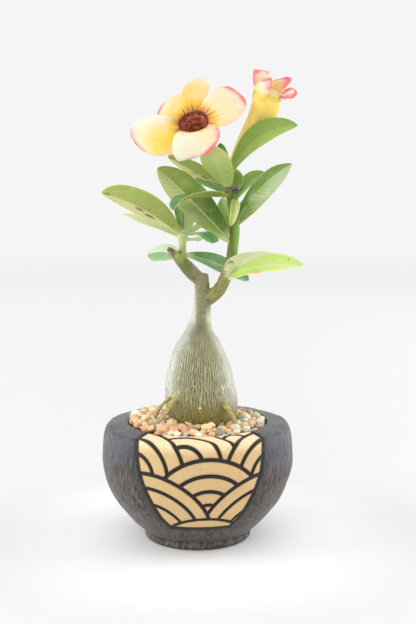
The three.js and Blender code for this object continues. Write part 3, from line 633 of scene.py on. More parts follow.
dead_tip = maths(tree, "MULTIPLY", ramp(tree, x, -11.5, -13.5), ramp(tree, z, 150, 156))
dead_tip = maths(tree, "MAXIMUM", dead_tip, near(tree, (x, y, z), (20.9, -4.6, 197), 4.2))
dead = mixed(tree, ramp(tree, fine, 0.4, 0.65), from_screen(50, 38, 36), from_screen(128, 112, 108))
dry = mixed(tree, ramp(tree, fine, 0.4, 0.65), from_screen(88, 72, 56), from_screen(146, 134, 104))
dead = mixed(tree, ramp(tree, x, 1, -1), dead, dry)
colour = mixed(tree, near(tree, (x, y, z), LEAF_CLASP, 6.0), colour, from_screen(196, 202, 146))
colour = mixed(tree, dead_tip, colour, dead)
# Painted shade behind the right root.
for pit in ROOT_SHADE_SPOTS:
    colour = mixed(tree, near(tree, (x, y, z), pit, 1.1), colour, from_screen(46, 36, 14))
scabs = ramp(tree, fine, 0.35, 0.6, 0.2, 0.9)
for scar in LEAF_SCARS:
    mark = maths(tree, "MULTIPLY", near(tree, (x, y, z), scar, 1.7), scabs)
    colour = mixed(tree, mark, colour, from_screen(112, 86, 48))
colour = mixed(tree, near(tree, (x, y, z), WHITE_FLECK, 1.0), colour, from_screen(250, 248, 240))
relief = maths(tree, "MULTIPLY_ADD", fine, 0.35, body_net)
coat_with(tree, colour, relief, 0.0006)
stem = link_piece("stem_roots_and_branches", shape, [skin])
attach(stem, "root")
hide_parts("swollen_stem")

# ---- The leaves ----
# Thick leathery blades on short stalks, widest past the middle, with a pale midrib that stands
# proud below, faint side veins and a thin yellowish margin. Some show their paler underside.
LEAF_THICKNESS = 0.6
LEAF_STALK = 0.11  # half width of the stalk, as a share of the blade's largest
LEAF_TIP = 0.03  # and of the tip
LEAF_WIDEST = 0.56
LEAF_TIP_POWER = 0.62  # unless a leaf's "point" says otherwise: larger is more pointed
LEAF_COLUMNS = 18
LEAF_ROWS = 44
LEAF_WAVE = 0.4  # how far the margin waves up and down
GROOVE_DEPTH = 0.22  # of the midrib, on the upper side
SIDE_VEINS = 17
# Colours: the two halves of the upper side, the midrib, the margin and the two halves of the
# underside. Where a leaf's two halves differ, part of it is painted light and shade: the half
# that faces the light is painted paler, the other darker. rib_share is how strongly the midrib
# shows above, and rough is for the upper side.
# marks are blemishes: their place across from -1 to 1 and along from 0 to 1, size and colour.
# tip is what the two halves turn to past the middle; the glossy leaf's pale tip half is a painted
# highlight.
LEAF_KINDS = {
    "olive": {"upper": ((118, 146, 58), (126, 152, 62)), "rib": (206, 208, 140), "rib_share": 0.7,
              "margin": (180, 188, 88), "under": ((152, 168, 80), (206, 206, 134)), "rough": 0.4,
              "marks": ((0.2, 0.53, 0.22, (120, 84, 50)), (0.42, 0.38, 0.25, (112, 70, 52)),
                        (0.36, 0.4, 0.18, (112, 70, 52)), (-0.1, 0.94, 0.16, (120, 110, 40)))},
    "young": {"upper": ((218, 220, 162), (172, 192, 72)), "rib": (206, 214, 130), "rib_share": 0.6,
              "margin": (190, 200, 110), "under": ((160, 180, 80), (160, 180, 80)), "rough": 0.4},
    "pale": {"upper": ((212, 222, 160), (206, 218, 150)), "rib": (230, 236, 190), "rib_share": 0.6,
             "margin": (214, 222, 156), "under": ((206, 218, 156), (206, 218, 156)), "rough": 0.5},
    "deep": {"upper": ((84, 138, 46), (112, 154, 62)), "rib": (176, 200, 120), "rib_share": 0.8,
             "margin": (146, 172, 76), "under": ((146, 170, 90), (154, 176, 94)), "rough": 0.28},
    "half_lit": {"upper": ((112, 154, 66), (200, 224, 156)), "rib": (214, 226, 184), "rib_share": 1.0,
              "margin": (170, 194, 110), "under": ((150, 178, 100), (150, 178, 100)), "rough": 0.3},
    "blue": {"upper": ((86, 142, 78), (106, 154, 92)), "rib": (206, 220, 172), "rib_share": 0.95,
             "margin": (158, 184, 114), "under": ((150, 178, 120), (150, 178, 120)), "rough": 0.26},
    "painted_sheen": {"upper": ((126, 168, 110), (204, 216, 186)), "rib": (214, 222, 190), "rib_share": 0.7,
               "margin": (176, 198, 150), "under": ((150, 178, 120), (150, 178, 120)), "rough": 0.3},
    "glossy": {"upper": ((96, 138, 54), (132, 156, 84)), "rib": (170, 188, 116), "rib_share": 0.6,
               "margin": (172, 190, 82), "under": ((146, 168, 90), (146, 168, 90)), "rough": 0.2,
               "tip": ((110, 146, 68), (170, 190, 144))},
    "green": {"upper": ((128, 158, 66), (146, 178, 90)), "rib": (160, 180, 100), "rib_share": 0.5,
              "margin": (176, 194, 88), "under": ((156, 174, 88), (156, 174, 88)), "rough": 0.36},
    "broad": {"upper": ((136, 156, 80), (78, 114, 32)), "rib": (196, 206, 136), "rib_share": 0.95,
              "margin": (166, 180, 86), "under": ((150, 168, 84), (150, 168, 84)), "rough": 0.34,
              "tip": ((170, 180, 118), (124, 148, 58))},
    "curled": {"upper": ((84, 132, 66), (84, 132, 66)), "rib": (176, 192, 116), "rib_share": 0.8,
               "margin": (160, 180, 80), "under": ((142, 156, 72), (150, 164, 78)), "rough": 0.2},
    "soft": {"upper": ((150, 170, 84), (150, 170, 84)), "rib": (206, 216, 142), "rib_share": 0.6,
             "margin": (184, 198, 106), "under": ((162, 182, 96), (170, 188, 106)), "rough": 0.5,
             "tip": ((198, 212, 132), (200, 214, 136))},
    "yellow": {"upper": ((184, 216, 104), (184, 214, 100)), "rib": (246, 248, 212), "rib_share": 1.0,
               "margin": (220, 228, 130), "under": ((184, 200, 110), (184, 200, 110)), "rough": 0.36,
               "tip": ((196, 224, 124), (206, 226, 136)),
               "marks": ((0.95, 0.5, 0.2, (240, 150, 50)), (0.95, 0.45, 0.2, (236, 200, 90)))},
    "tan": {"upper": ((150, 162, 80), (150, 162, 80)), "rib": (220, 222, 168), "rib_share": 0.6,
            "margin": (200, 204, 126), "under": ((206, 210, 158), (212, 216, 168)), "rough": 0.5},
}
# A midrib runs from base through middle to tip. width is the leaf's largest, face is about where
# its upper side looks, and fold is how many degrees its halves turn up, or down if less than 0.
LEAVES = {
    "leaf_left_1": {"base": (-8.4, -1, 170.5), "middle": (-29, -14, 185.8), "tip": (-52, -12, 194.5),
                    "width": 20, "face": (0.3, 0.78, 0.52), "fold": 26, "kind": "olive", "point": 0.72},
    "leaf_left_2": {"base": (-8.4, 0, 169), "middle": (-27, 16, 177), "tip": (-45, 30, 182),
                    "width": 16, "face": (0.1, -0.2, 1), "fold": 12, "kind": "pale"},
    "leaf_left_3": {"base": (-8.2, 0, 171.5), "middle": (-7.7, 10, 183), "tip": (-10, 18, 194.5),
                    "width": 15, "face": (0.3, -0.9, 0.5), "fold": 26, "kind": "half_lit"},
    "leaf_left_4": {"base": (-8, -2, 171), "middle": (1.3, -18, 172.3), "tip": (8, -30, 168),
                    "width": 14, "face": (0.4, -0.55, 0.75), "fold": 12, "kind": "blue", "point": 0.3},
    "leaf_left_5": {"base": (-8, 0, 170.5), "middle": (2, 16, 175.5), "tip": (7.5, 28, 179.5),
                    "width": 12, "face": (-0.3, -0.2, 1), "fold": 15, "kind": "pale"},
    "leaf_left_6": {"base": (-8, 0, 168), "middle": (-3, 15, 168), "tip": (0, 26, 166.5),
                    "width": 11, "face": (0, 0.2, 1), "fold": 15, "kind": "pale"},
    "leaf_left_7": {"base": (-9, 0, 158.5), "middle": (-19.5, 15, 160.8), "tip": (-29.5, 27, 158.5),
                    "width": 13, "face": (-0.1, -0.8, 0.5), "fold": -8, "kind": "painted_sheen", "point": 0.75},
    "leaf_left_8": {"base": (-8, 0, 160.5), "middle": (12.7, 9, 153.8), "tip": (29.3, 14, 144.5),
                    "width": 14, "face": (0.2, -0.6, 0.7), "fold": 10, "kind": "blue"},
    "leaf_right_1": {"base": (20.5, -1.5, 174), "middle": (32.8, -12, 195.4), "tip": (51, -16, 210),
                     "width": 18, "face": (-0.9, -0.6, 0.2), "fold": -10, "kind": "glossy", "point": 0.85},
    "leaf_right_2": {"base": (20.3, -1, 189.5), "middle": (28.6, 10, 200), "tip": (38.6, 17, 205.6),
                     "width": 12, "face": (-0.7, -0.9, 0.3), "fold": 12, "kind": "green"},
    "leaf_right_3": {"base": (17, 0, 203), "middle": (33, -6, 224.5), "tip": (54.5, -9, 230.5),
                     "width": 16, "face": (-0.3, -0.7, 0.5), "fold": 12, "kind": "green", "point": 0.8},
    "leaf_right_4": {"base": (19.8, -1.6, 166), "middle": (-2, -9, 189), "tip": (-21.5, -12, 208),
                     "width": 21, "face": (0.33, -0.88, 0.33), "fold": 18, "kind": "broad", "point": 0.68},
    "leaf_right_5": {"base": (18.9, -1, 192.2), "middle": (-2.7, -27, 192.5), "tip": (-12, -38, 185.5),
                     "width": 14, "face": (-0.1, 0.1, 1), "fold": 18, "kind": "curled"},
    "leaf_right_6": {"base": (17.2, -1.5, 196.5), "middle": (11.2, -9, 209), "tip": (3, -13, 219),
                     "width": 16, "face": (0.3, 0.9, 0.3), "fold": 8, "kind": "soft"},
    "leaf_right_7": {"base": (16.8, 0.2, 199), "middle": (0, 6, 206), "tip": (-17, 11, 215),
                     "width": 13, "face": (-0.5, 0.5, 0.7), "fold": 10, "kind": "olive"},
    "leaf_right_8": {"base": (18.2, 0, 194), "middle": (7, 16, 201), "tip": (0, 29, 208.5),
                     "width": 12, "face": (-0.4, -0.4, 1), "fold": 15, "kind": "deep"},
    "leaf_right_9": {"base": (19.2, 0, 194.5), "middle": (19.6, 9, 201), "tip": (17.8, 15, 208.5),
                     "width": 13, "face": (0.1, -1, 0.3), "fold": 10, "kind": "deep"},
    "leaf_right_10": {"base": (16.8, -1, 201.5), "middle": (14, -4, 211), "tip": (12.5, -5.5, 221.5),
                      "width": 8, "face": (0.3, -1, 0.2), "fold": 15, "kind": "deep"},
    "leaf_right_11": {"base": (20, -2, 190.5), "middle": (20.2, -11, 186.5), "tip": (18, -15, 176.5),
                      "width": 6.6, "face": (0.3, -1, 0.6), "fold": 38, "kind": "young"},
    "leaf_right_12": {"base": (20.3, -1, 176), "middle": (15.5, 12, 184), "tip": (14, 24, 191.5),
                      "width": 8, "face": (-0.8, -0.5, 0.6), "fold": 15, "kind": "green"},
    "leaf_right_13": {"base": (15.8, -2.6, 146), "middle": (34.5, -15, 154.6), "tip": (57, -25, 156),
                      "width": 17, "face": (0, -0.55, 0.8), "fold": 12, "kind": "yellow", "point": 0.8},
    "leaf_right_14": {"base": (16.2, -2, 151.5), "middle": (25.5, -2.5, 154.5), "tip": (47.5, 10, 157),
                      "width": 16, "face": (0, 0.85, 0.5), "fold": 8, "kind": "tan"},
    "leaf_back_1": {"base": (20.3, -1, 172), "middle": (4, 19, 185), "tip": (-9, 32, 191),
                    "width": 15, "face": (-0.2, 0.3, 1), "fold": 14, "kind": "green"},
    "leaf_back_2": {"base": (20.3, -1, 182), "middle": (34, 15, 192), "tip": (44, 29, 203),
                    "width": 14, "face": (-0.2, -0.3, 1), "fold": 14, "kind": "deep"},
}


def add_blade(mesh, columns, rows, middle, above, below):
    """A closed thin blade with its own UV, s from -1 to 1 across and t from 0 to 1 along. It starts
    in an edge and ends in a point. middle gives its middle surface, above and below how far its
    two faces are off that, in millimetres."""
    across = np.sin(np.linspace(-0.5, 0.5, columns + 1) * math.pi)
    s, t = np.meshgrid(across, np.linspace(0, 1, rows + 1))
    points = middle(s, t)
    to_side = np.gradient(points, axis=1) + 1e-9
    to_tip = np.gradient(points, axis=0)
    up = np.cross(to_side, to_tip)
    up /= np.maximum(np.linalg.norm(up, axis=2, keepdims=True), 1e-9)
    upper = points + up * above(s, t)[..., None]
    under = points - up * below(s, t)[..., None]
    loop = np.concatenate([upper, under[:, -2::-1]], axis=1) * MM
    loop[0] = np.concatenate([points[0], points[0, -2::-1]]) * MM
    loop[-1] = points[-1, columns // 2] * MM
    shares = np.concatenate([across, across[-2::-1]])
    uv = mesh.loops.layers.uv.verify()
    made = bmesh.ops.create_grid(mesh, x_segments=2 * columns, y_segments=rows, size=1, calc_uvs=True)
    for vertex in made["verts"]:
        column = round((vertex.co.x + 1) * columns)
        vertex.co = loop[round((vertex.co.y + 1) / 2 * rows)][column]
    for face in {f for v in made["verts"] for f in v.link_faces}:
        places = [corner[uv].uv.copy() for corner in face.loops]
        face.material_index = int(sum(p.x for p in places) / 4 > 0.5)
        for corner, place in zip(face.loops, places):
            corner[uv].uv = ((shares[round(place.x * 2 * columns)] + 1) / 2, place.y)
    bmesh.ops.remove_doubles(mesh, verts=made["verts"], dist=0.000002)
    return [vertex for vertex in made["verts"] if vertex.is_valid]


def unit(vectors):
    """The same directions, one long."""
    return vectors / np.linalg.norm(vectors, axis=-1, keepdims=True)


def leaf_outline(t, tip_power):
    """A leaf's half width from its stalk to its tip, as a share of the largest."""
    base_power = tip_power * LEAF_WIDEST / (1 - LEAF_WIDEST)
    peak = LEAF_WIDEST**base_power * (1 - LEAF_WIDEST) ** tip_power
    spoon = t**base_power * (1 - t) ** tip_power / peak
    return np.maximum(spoon, np.where(t < 0.5, LEAF_STALK, LEAF_TIP))


def leaf_middle(leaf, phase):
    """The middle surface of a leaf: two halves folded up from a curved midrib, a little wavy."""
    base, middle, tip = (np.array(leaf[k], float) for k in ("base", "middle", "tip"))
    control = 2 * middle - (base + tip) / 2
    lift = math.radians(leaf["fold"])

    def surface(s, t):
        t3 = t[..., None]
        rib = (1 - t3) ** 2 * base + 2 * t3 * (1 - t3) * control + t3**2 * tip
        tangent = unit((1 - t3) * (control - base) + t3 * (tip - control))
        side = unit(np.cross(tangent, np.array(leaf["face"], float)))
        up = np.cross(side, tangent)
        outline = leaf_outline(t, leaf.get("point", LEAF_TIP_POWER))
        half = leaf["width"] / 2 * outline
        folded = np.sqrt(s**2 + 0.02) - math.sqrt(0.02)
        rise = folded * half * math.sin(lift) + 0.05 * half * np.sin(math.pi * np.abs(s))
        rise += LEAF_WAVE * s**2 * np.sin(9 * t + phase + 1.3 * s) * outline
        return rib + side * (s * half * math.cos(lift))[..., None] + up * rise[..., None]

    return surface


def leaf_finish(kind_name, looks, underside):
    """The green of one side of a leaf, with its midrib, side veins, margin and blemishes, and the painted
    light and shade that its two halves carry.
    """
    side_name = "underside" if underside else "upper side"
    finish, tree = new_finish(f"{kind_name} leaf {side_name}", 0.5 if underside else looks["rough"],
                              Subsurface_Weight=0.1, Subsurface_Scale=0.002)
    place = wire(tree, "ShaderNodeTexCoord", {}, output=2)
    u, v = (wire(tree, "ShaderNodeSeparateXYZ", {0: place}, output=k) for k in range(2))
    s = maths(tree, "MULTIPLY_ADD", u, 2.0, -1.0)
    away = maths(tree, "ABSOLUTE", s)
    mottle = grain(tree, 160, detail=5)
    fine = grain(tree, 1400, detail=3)
    # Side veins leave the midrib slanting to the tip and bow towards the margin.
    strand = maths(tree, "MULTIPLY_ADD", maths(tree, "POWER", away, 1.3), -0.15, v)
    strand = maths(tree, "MULTIPLY_ADD", mottle, 0.03, strand)
    vein = maths(tree, "SINE", maths(tree, "MULTIPLY", strand, 2 * math.pi * SIDE_VEINS))
    vein = maths(tree, "MULTIPLY", ramp(tree, vein, 0.7, 1.0), ramp(tree, away, 0.95, 0.5))
    across_rib = ramp(tree, s, -0.06, 0.06)
    # Where the two halves' colours differ, they carry painted light and shade.
    halves = [from_screen(*half) for half in looks["under" if underside else "upper"]]
    blade = mixed(tree, across_rib, *halves)
    # Past the middle the halves turn to the tip colours: a painted highlight on the glossy leaf.
    if "tip" in looks:
        outer = mixed(tree, across_rib, *(from_screen(*half) for half in looks["tip"]))
        to_tip = ramp(tree, maths(tree, "MULTIPLY_ADD", mottle, 0.3, v), 0.4, 0.95)
        blade = mixed(tree, to_tip, blade, outer)
    darker = mixed(tree, 0.75, blade, (0, 0, 0, 1))
    lighter = mixed(tree, 0.25, blade, from_screen(*looks["rib"]))
    blade = mixed(tree, ramp(tree, mottle, 0.38, 0.24, 0, 0.35), blade, darker)
    blade = mixed(tree, ramp(tree, mottle, 0.5, 0.75), blade, lighter)
    blade = mixed(tree, maths(tree, "MULTIPLY", vein, 0.16), blade, from_screen(*looks["rib"]))
    rib_width = maths(tree, "MULTIPLY_ADD", v, -0.05, 0.072)
    rib_edge = maths(tree, "MULTIPLY", rib_width, 0.4)
    rib = wire(tree, "ShaderNodeMapRange", {0: away, 1: rib_width, 2: rib_edge},
               interpolation_type="SMOOTHSTEP")
    rib = maths(tree, "MULTIPLY", rib, 0.7 if underside else looks["rib_share"])
    stalk = ramp(tree, v, 0.17, 0.03)
    colour = mixed(tree, maths(tree, "MAXIMUM", rib, stalk), blade, from_screen(*looks["rib"]))
    colour = mixed(tree, ramp(tree, away, 0.93, 0.98), colour, from_screen(*looks["margin"]))
    specks = ramp(tree, grain(tree, 330, detail=1), 0.74, 0.78, 0, 0.6)
    colour = mixed(tree, specks, colour, from_screen(130, 104, 44))
    for mark_s, mark_t, size, mark_colour in looks.get("marks", ()):
        spot = near(tree, (s, maths(tree, "MULTIPLY", v, 3.0), 0.0), (mark_s, 3 * mark_t, 0), size)
        spot = maths(tree, "MULTIPLY", spot, ramp(tree, fine, 0.3, 0.55, 0.2, 1))
        colour = mixed(tree, spot, colour, from_screen(*mark_colour))
    relief = maths(tree, "MULTIPLY_ADD", vein, -0.5, maths(tree, "MULTIPLY", fine, 0.25))
    coat_with(tree, colour, relief, 0.0003)
    return finish


def leaf_flesh(s, t):
    """Half a leaf's thickness: rounded off at the margin, and fuller towards the stalk."""
    margin = np.sqrt(np.clip(1 - np.abs(s) ** (2 + 8 * eased(t, 0.05, 0.2)), 0, 1))
    stalk = 1 + 1.6 * (1 - eased(t, 0.02, 0.2))
    return LEAF_THICKNESS / 2 * margin * stalk


def leaf_above(s, t):
    """The upper side's distance from the middle surface, with a groove along the midrib."""
    return leaf_flesh(s, t) - GROOVE_DEPTH * np.exp(-((s / 0.07) ** 2)) * eased(t, 0.06, 0.2)


def leaf_below(s, t):
    """The underside's distance from the middle surface, where the midrib stands proud."""
    rib = (0.75 - 0.6 * t) * np.exp(-((s / 0.085) ** 2)) * eased(t, 0.06, 0.2)
    return leaf_flesh(s, t) + rib


leaf_finishes = {}
for kind_name, looks in LEAF_KINDS.items():
    leaf_finishes[kind_name] = [leaf_finish(kind_name, looks, side) for side in (False, True)]
for number, (name, leaf) in enumerate(LEAVES.items()):
    shape = bmesh.new()
    add_blade(shape, LEAF_COLUMNS, LEAF_ROWS, leaf_middle(leaf, 1.7 * number), leaf_above, leaf_below)
    made = link_piece(f"grown_{name}", shape, leaf_finishes[leaf["kind"]])
    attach(made, "root")
    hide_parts(name)

# ---- The flowers ----
# Funnels of thin satiny tissue whose rim parts into five overlapping lobes: yellow and cream with
# pink margins, and dark streaks in the throat round a cone of anthers.
PETAL_THICKNESS = 0.6
PETAL_WAVE = 0.9
PETAL_COLUMNS = 20
PETAL_ROWS = 30
LOBE_SHARE = 0.55  # of the gap to the next lobe that a lobe's foot covers, so that they overlap
TUBE_WALL = 0.5
TUBE_SIDES = 48
ANTHER_RADII = (2, 2.6, 1.8, 0.4)  # of the cone of anthers, upwards
STALK_RADIUS = 1.3
SEPALS = 5
SEPAL_LENGTH = 6.5
SEPAL_WIDTH = 2.8
# tube is rows of x, y, z and radius, and flare is how much its rim is turned out. The lobes start
# grip out from the rim and foot above it, and hug it for that share of their length. The first
# plain_rings of the inside have the tube's colour, and the rest the throat's. pink_from is where
# a lobe's pink margins start, from 0 at its midline to 1 at its edge.
# A lobe: turn is its direction round the tube in degrees, reach and rise are how far its tip is
# out from the rim and above it, bow is how high it arches on the way, and halves are the widths of
# its two halves. skew moves one side further out, tilt lifts one side, and blunt shapes the end,
# from broad at 0.7 to round at 1. blush is how pink it is along one edge, at its tip and along the
# other edge, and gold is how yellow each half is.
OPEN_FLOWER = {
    "tube": [[12.6, 2.6, 205.5, 1.5], [9, 4.6, 211, 2.1], [4, 5, 217.5, 3.0], [0.4, 1.4, 224, 5.4],
             [-1, -3.6, 228.6, 6.6], [-1.8, -8, 232.2, 7.2]],
    "flare": 0.6, "grip": 0.25, "foot": -0.3, "hug": 0.2, "plain_rings": 0, "pink_from": 0.5,
    "lobes": [
        {"turn": 46, "reach": 24, "rise": 0, "bow": 6, "halves": (19, 6), "skew": 0, "tilt": 1.2,
         "blunt": 0.97, "blush": (0.6, 1.0, 0.3), "gold": (0.4, 0.2)},
        {"turn": 81, "reach": 30, "rise": -4, "bow": 6, "halves": (4.5, 10), "skew": 0, "tilt": 1.2,
         "blunt": 1.0, "blush": (0, 0, 0), "gold": (0.6, 0.8)},
        {"turn": 148, "reach": 18, "rise": -4, "bow": 5, "halves": (17, 4), "skew": -4, "tilt": 1.2,
         "blunt": 1.0, "blush": (0, 1.0, 0), "gold": (0.7, 0.9)},
        {"turn": 184, "reach": 28, "rise": -2, "bow": 6, "halves": (7, 20), "skew": -3, "tilt": -2,
         "blunt": 1.0, "blush": (0, 0.65, 0.45), "gold": (0.0, 1.0)},
        {"turn": 264, "reach": 17, "rise": -2, "bow": 10, "halves": (9, 16), "skew": -4, "tilt": -0.5,
         "blunt": 0.9, "blush": (0, 0.5, 0.9), "gold": (0.0, 0.3)},
    ],
    "stalk": [16.6, 0.4, 202],  # where it leaves the shoot
}
HALF_OPEN_FLOWER = {
    "tube": [[18.2, 4.4, 207, 1.5], [20.2, 6, 213, 2.0], [23.6, 6.4, 221, 2.6], [28.6, 5, 229, 4.0],
             [34, 3.2, 235, 6.8], [37.3, 1.8, 241, 7.8], [38.2, 1, 247, 7.5]],
    "flare": 0.0, "grip": -0.15, "foot": -2.5, "hug": 0.6, "plain_rings": 2, "pink_from": -0.6,
    "lobes": [
        {"turn": 132, "reach": 0, "rise": 13.5, "bow": 3, "halves": (7, 6), "skew": 0, "tilt": 0,
         "blunt": 0.7, "blush": (0.3, 0.6, 0.9), "gold": (0.4, 0.4)},
        {"turn": 55, "reach": 4, "rise": 10.5, "bow": 4, "halves": (8, 7), "skew": 0, "tilt": -3.5,
         "blunt": 0.84, "blush": (1.0, 0.8, 0.5), "gold": (0.8, 1.0)},
        {"turn": -5, "reach": 8.5, "rise": 4, "bow": 4, "halves": (7.5, 7), "skew": 0, "tilt": 4,
         "blunt": 1.0, "blush": (1.0, 1.0, 1.0), "gold": (0.1, 0.1)},
        {"turn": -58, "reach": 1, "rise": 3.5, "bow": 2, "halves": (5.5, 7), "skew": 1, "tilt": -3.2,
         "blunt": 0.84, "blush": (0.5, 0.35, 0.4), "gold": (0.7, 0.5)},
        {"turn": 232, "reach": 0, "rise": 8, "bow": 3, "halves": (5, 7.5), "skew": 1, "tilt": 2.6,
         "blunt": 0.86, "blush": (0.1, 0.5, 0.85), "gold": (0.6, 0.1)},
    ],
    "stalk": [17, 1, 203],
}


def tube_frame(start, end):
    """The axis of a flower's tube, and two directions across it."""
    axis = unit(np.array(end[:3], float) - np.array(start[:3], float))
    across = unit(np.array([1.0, 0, 0]) - axis[0] * axis)
    return axis, across, np.cross(axis, across)


def petal_outline(t, blunt):
    """A lobe's half width from its foot to its tip, as a share of the largest."""
    swing = np.clip(blunt * math.pi * (0.2 + 0.8 * t) ** 1.8, 0, math.pi)
    return np.maximum(0.1 + 0.42 * (1 - t), np.sin(swing) ** 0.55)


def petal_middle(flower, lobe, k):
    """The middle surface of a lobe, wrapped round the tube at its foot and free further out."""
    mouth = np.array(flower["tube"][-1][:3], float)
    axis, across, up = tube_frame(*flower["tube"][-2:])
    rim = flower["tube"][-1][3] + 0.15
    foot = rim + flower["grip"]
    turn = math.radians(lobe["turn"])
    out = across * math.cos(turn) + up * math.sin(turn)
    side = np.cross(axis, out)
    others = [other["turn"] for other in flower["lobes"] if other is not lobe]
    gaps = [min(way * (lobe["turn"] - other) % 360 for other in others) for way in (1, -1)]
    shares = [LOBE_SHARE * foot * math.radians(gap) for gap in gaps]  # of the rim, to either side

    def surface(s, t):
        a, b, c = (1 - t) ** 2, 2 * t * (1 - t), t**2
        away = a * foot + b * (rim - 0.3 + 0.3 * lobe["reach"]) + c * (rim + lobe["reach"])
        height = flower["foot"] * a + b * (lobe["bow"] + 0.3 * lobe["rise"]) + c * lobe["rise"]
        outline = petal_outline(t, lobe["blunt"])
        half = np.where(s < 0, *lobe["halves"]) * outline
        wrapped = np.where(s < 0, *shares) * (1 - t / (flower["hug"] + 0.1))
        arc = s * np.maximum(half, wrapped)
        angle = np.clip(arc / foot, -1.6, 1.6)
        hug = np.clip(1 - t / flower["hug"], 0, 1)
        away += lobe["skew"] * s * t * outline + 0.2 * s * hug
        away += hug * foot * (np.cos(angle) - 1) - (1 - hug) * arc**2 / (2 * rim) * (1 - t) ** 2
        arc = arc + hug * (foot * np.sin(angle) - arc)
        height += lobe["tilt"] * s * t * outline
        height += PETAL_WAVE * t * s**2 * np.sin(5 * t + 2 * k + 2 * s)
        height += 0.3 * t * np.sin(7 * s + 11 * t + k) * np.abs(s)
        return mouth + out * away[..., None] + side * arc[..., None] + axis * height[..., None]

    return surface


def petal_face(s, t):
    """Half a petal's thickness: rounded off at the margins, and thinner at the foot."""
    margin = np.sqrt(np.clip(1 - np.abs(s) ** 8, 0, 1))
    return PETAL_THICKNESS / 2 * margin * eased(t, -0.05, 0.12)


def petal_finish(name, throat_colour, halo_colour):
    """Petal tissue: gold near the throat, pale outside, pink where the lobe says, with streaks."""
    finish, tree = new_finish(name, 0.5, Subsurface_Weight=0.15, Subsurface_Scale=0.002)
    place = wire(tree, "ShaderNodeTexCoord", {}, output=2)
    v = wire(tree, "ShaderNodeSeparateXYZ", {0: place}, output=1)
    blush = wire(tree, "ShaderNodeAttribute", {}, output=2, attribute_name="blush")
    gold = wire(tree, "ShaderNodeAttribute", {}, output=2, attribute_name="gold")
    cloud = grain(tree, 120, detail=4)
    stretched = wire(tree, "ShaderNodeMapping", {"Vector": place, "Scale": (26, 1.6, 1)})
    streaks = wire(tree, "ShaderNodeTexNoise", {"Vector": stretched, "Scale": 1.0, "Detail": 3.0})
    reach = maths(tree, "MULTIPLY_ADD", cloud, 0.3, v)
    yellow = maths(tree, "MULTIPLY", gold, ramp(tree, reach, 1.3, 0.7))
    yellow = maths(tree, "MULTIPLY_ADD", ramp(tree, v, 0.45, 0.12), 0.6, yellow)
    colour = mixed(tree, yellow, from_screen(226, 226, 204), from_screen(236, 190, 52))
    colour = mixed(tree, ramp(tree, streaks, 0.45, 0.7, 0, 0.3), colour, from_screen(232, 226, 170))
    pink = maths(tree, "MULTIPLY_ADD", maths(tree, "SUBTRACT", cloud, 0.5), 0.6, blush)
    colour = mixed(tree, ramp(tree, pink, 0.2, 0.7, 0, 0.7), colour, from_screen(240, 186, 172))
    colour = mixed(tree, ramp(tree, pink, 0.5, 1.05, 0, 0.9), colour, from_screen(238, 92, 108))
    ray = maths(tree, "MULTIPLY_ADD", ramp(tree, streaks, 0.48, 0.74), 0.38, 0.16)
    halo = ramp(tree, maths(tree, "SUBTRACT", v, ray), 0.12, -0.06, 0, 0.7)
    colour = mixed(tree, halo, colour, from_screen(*halo_colour))
    ray = maths(tree, "MULTIPLY_ADD", ramp(tree, streaks, 0.5, 0.72), 0.3, 0.07)
    dark = ramp(tree, maths(tree, "SUBTRACT", v, ray), 0.04, -0.04)
    colour = mixed(tree, dark, colour, from_screen(*throat_colour))
    coat_with(tree, colour, streaks, 0.0003)
    return finish


petal_inside = petal_finish("petals inside", (108, 46, 28), (206, 130, 40))
petal_outside = petal_finish("petals outside", (238, 206, 96), (238, 206, 96))

tube_finish, tree = new_finish("flower tube", 0.5, Subsurface_Weight=0.15, Subsurface_Scale=0.002)
x, y, z = own_axes(tree)
streaks = grain(tree, 300, detail=3, stretch=(1, 1, 0.3))
striped = ramp(tree, streaks, 0.35, 0.7)
low_down = mixed(tree, striped, from_screen(244, 214, 134), from_screen(250, 228, 150))
high_up = mixed(tree, striped, from_screen(236, 202, 84), from_screen(240, 214, 112))
colour = mixed(tree, ramp(tree, z, 226, 240), low_down, high_up)
# Painted shade: one flank of the half-open flower's tube, where a leaf meets it, is a duller yellow.
across_tube = maths(tree, "MULTIPLY_ADD", z, -0.36, x)
painted_shade_flank = maths(tree, "MULTIPLY", ramp(tree, across_tube, -53.5, -50.0), ramp(tree, z, 240, 232))
colour = mixed(tree, painted_shade_flank, colour, from_screen(188, 160, 84))
coat_with(tree, colour, streaks, 0.0003)

throat_finish, tree = new_finish("throat", 0.7)
threads = ramp(tree, grain(tree, 500, detail=3), 0.3, 0.7)
x, y, z = own_axes(tree)
# The level is how far a spot is past the open flower's mouth, along its tube.
mouth = OPEN_FLOWER["tube"][-1][:3]
axis = tube_frame(*OPEN_FLOWER["tube"][-2:])[0]
place = wire(tree, "ShaderNodeCombineXYZ", {0: x, 1: y, 2: z})
measured = {0: place, 1: tuple(axis)}
level = wire(tree, "ShaderNodeVectorMath", measured, output=1, operation="DOT_PRODUCT")
level = maths(tree, "SUBTRACT", level, float(np.dot(mouth, axis)))
# Painted light: deep in the throat the colour is painted lighter than at the mouth, against the shade
# inside the tube.
deep_down_painted_light = mixed(tree, threads, from_screen(150, 62, 42), from_screen(244, 150, 116))
dark_edge = mixed(tree, threads, from_screen(90, 38, 24), from_screen(150, 70, 44))
colour = mixed(tree, ramp(tree, level, -2.0, -0.2), deep_down_painted_light, dark_edge)
# The half-open flower, at the right, has a golden throat.
golden = mixed(tree, threads, from_screen(206, 120, 70), from_screen(250, 206, 110))
colour = mixed(tree, ramp(tree, x, 14, 20), colour, golden)
coat_with(tree, colour, threads, 0.0008)

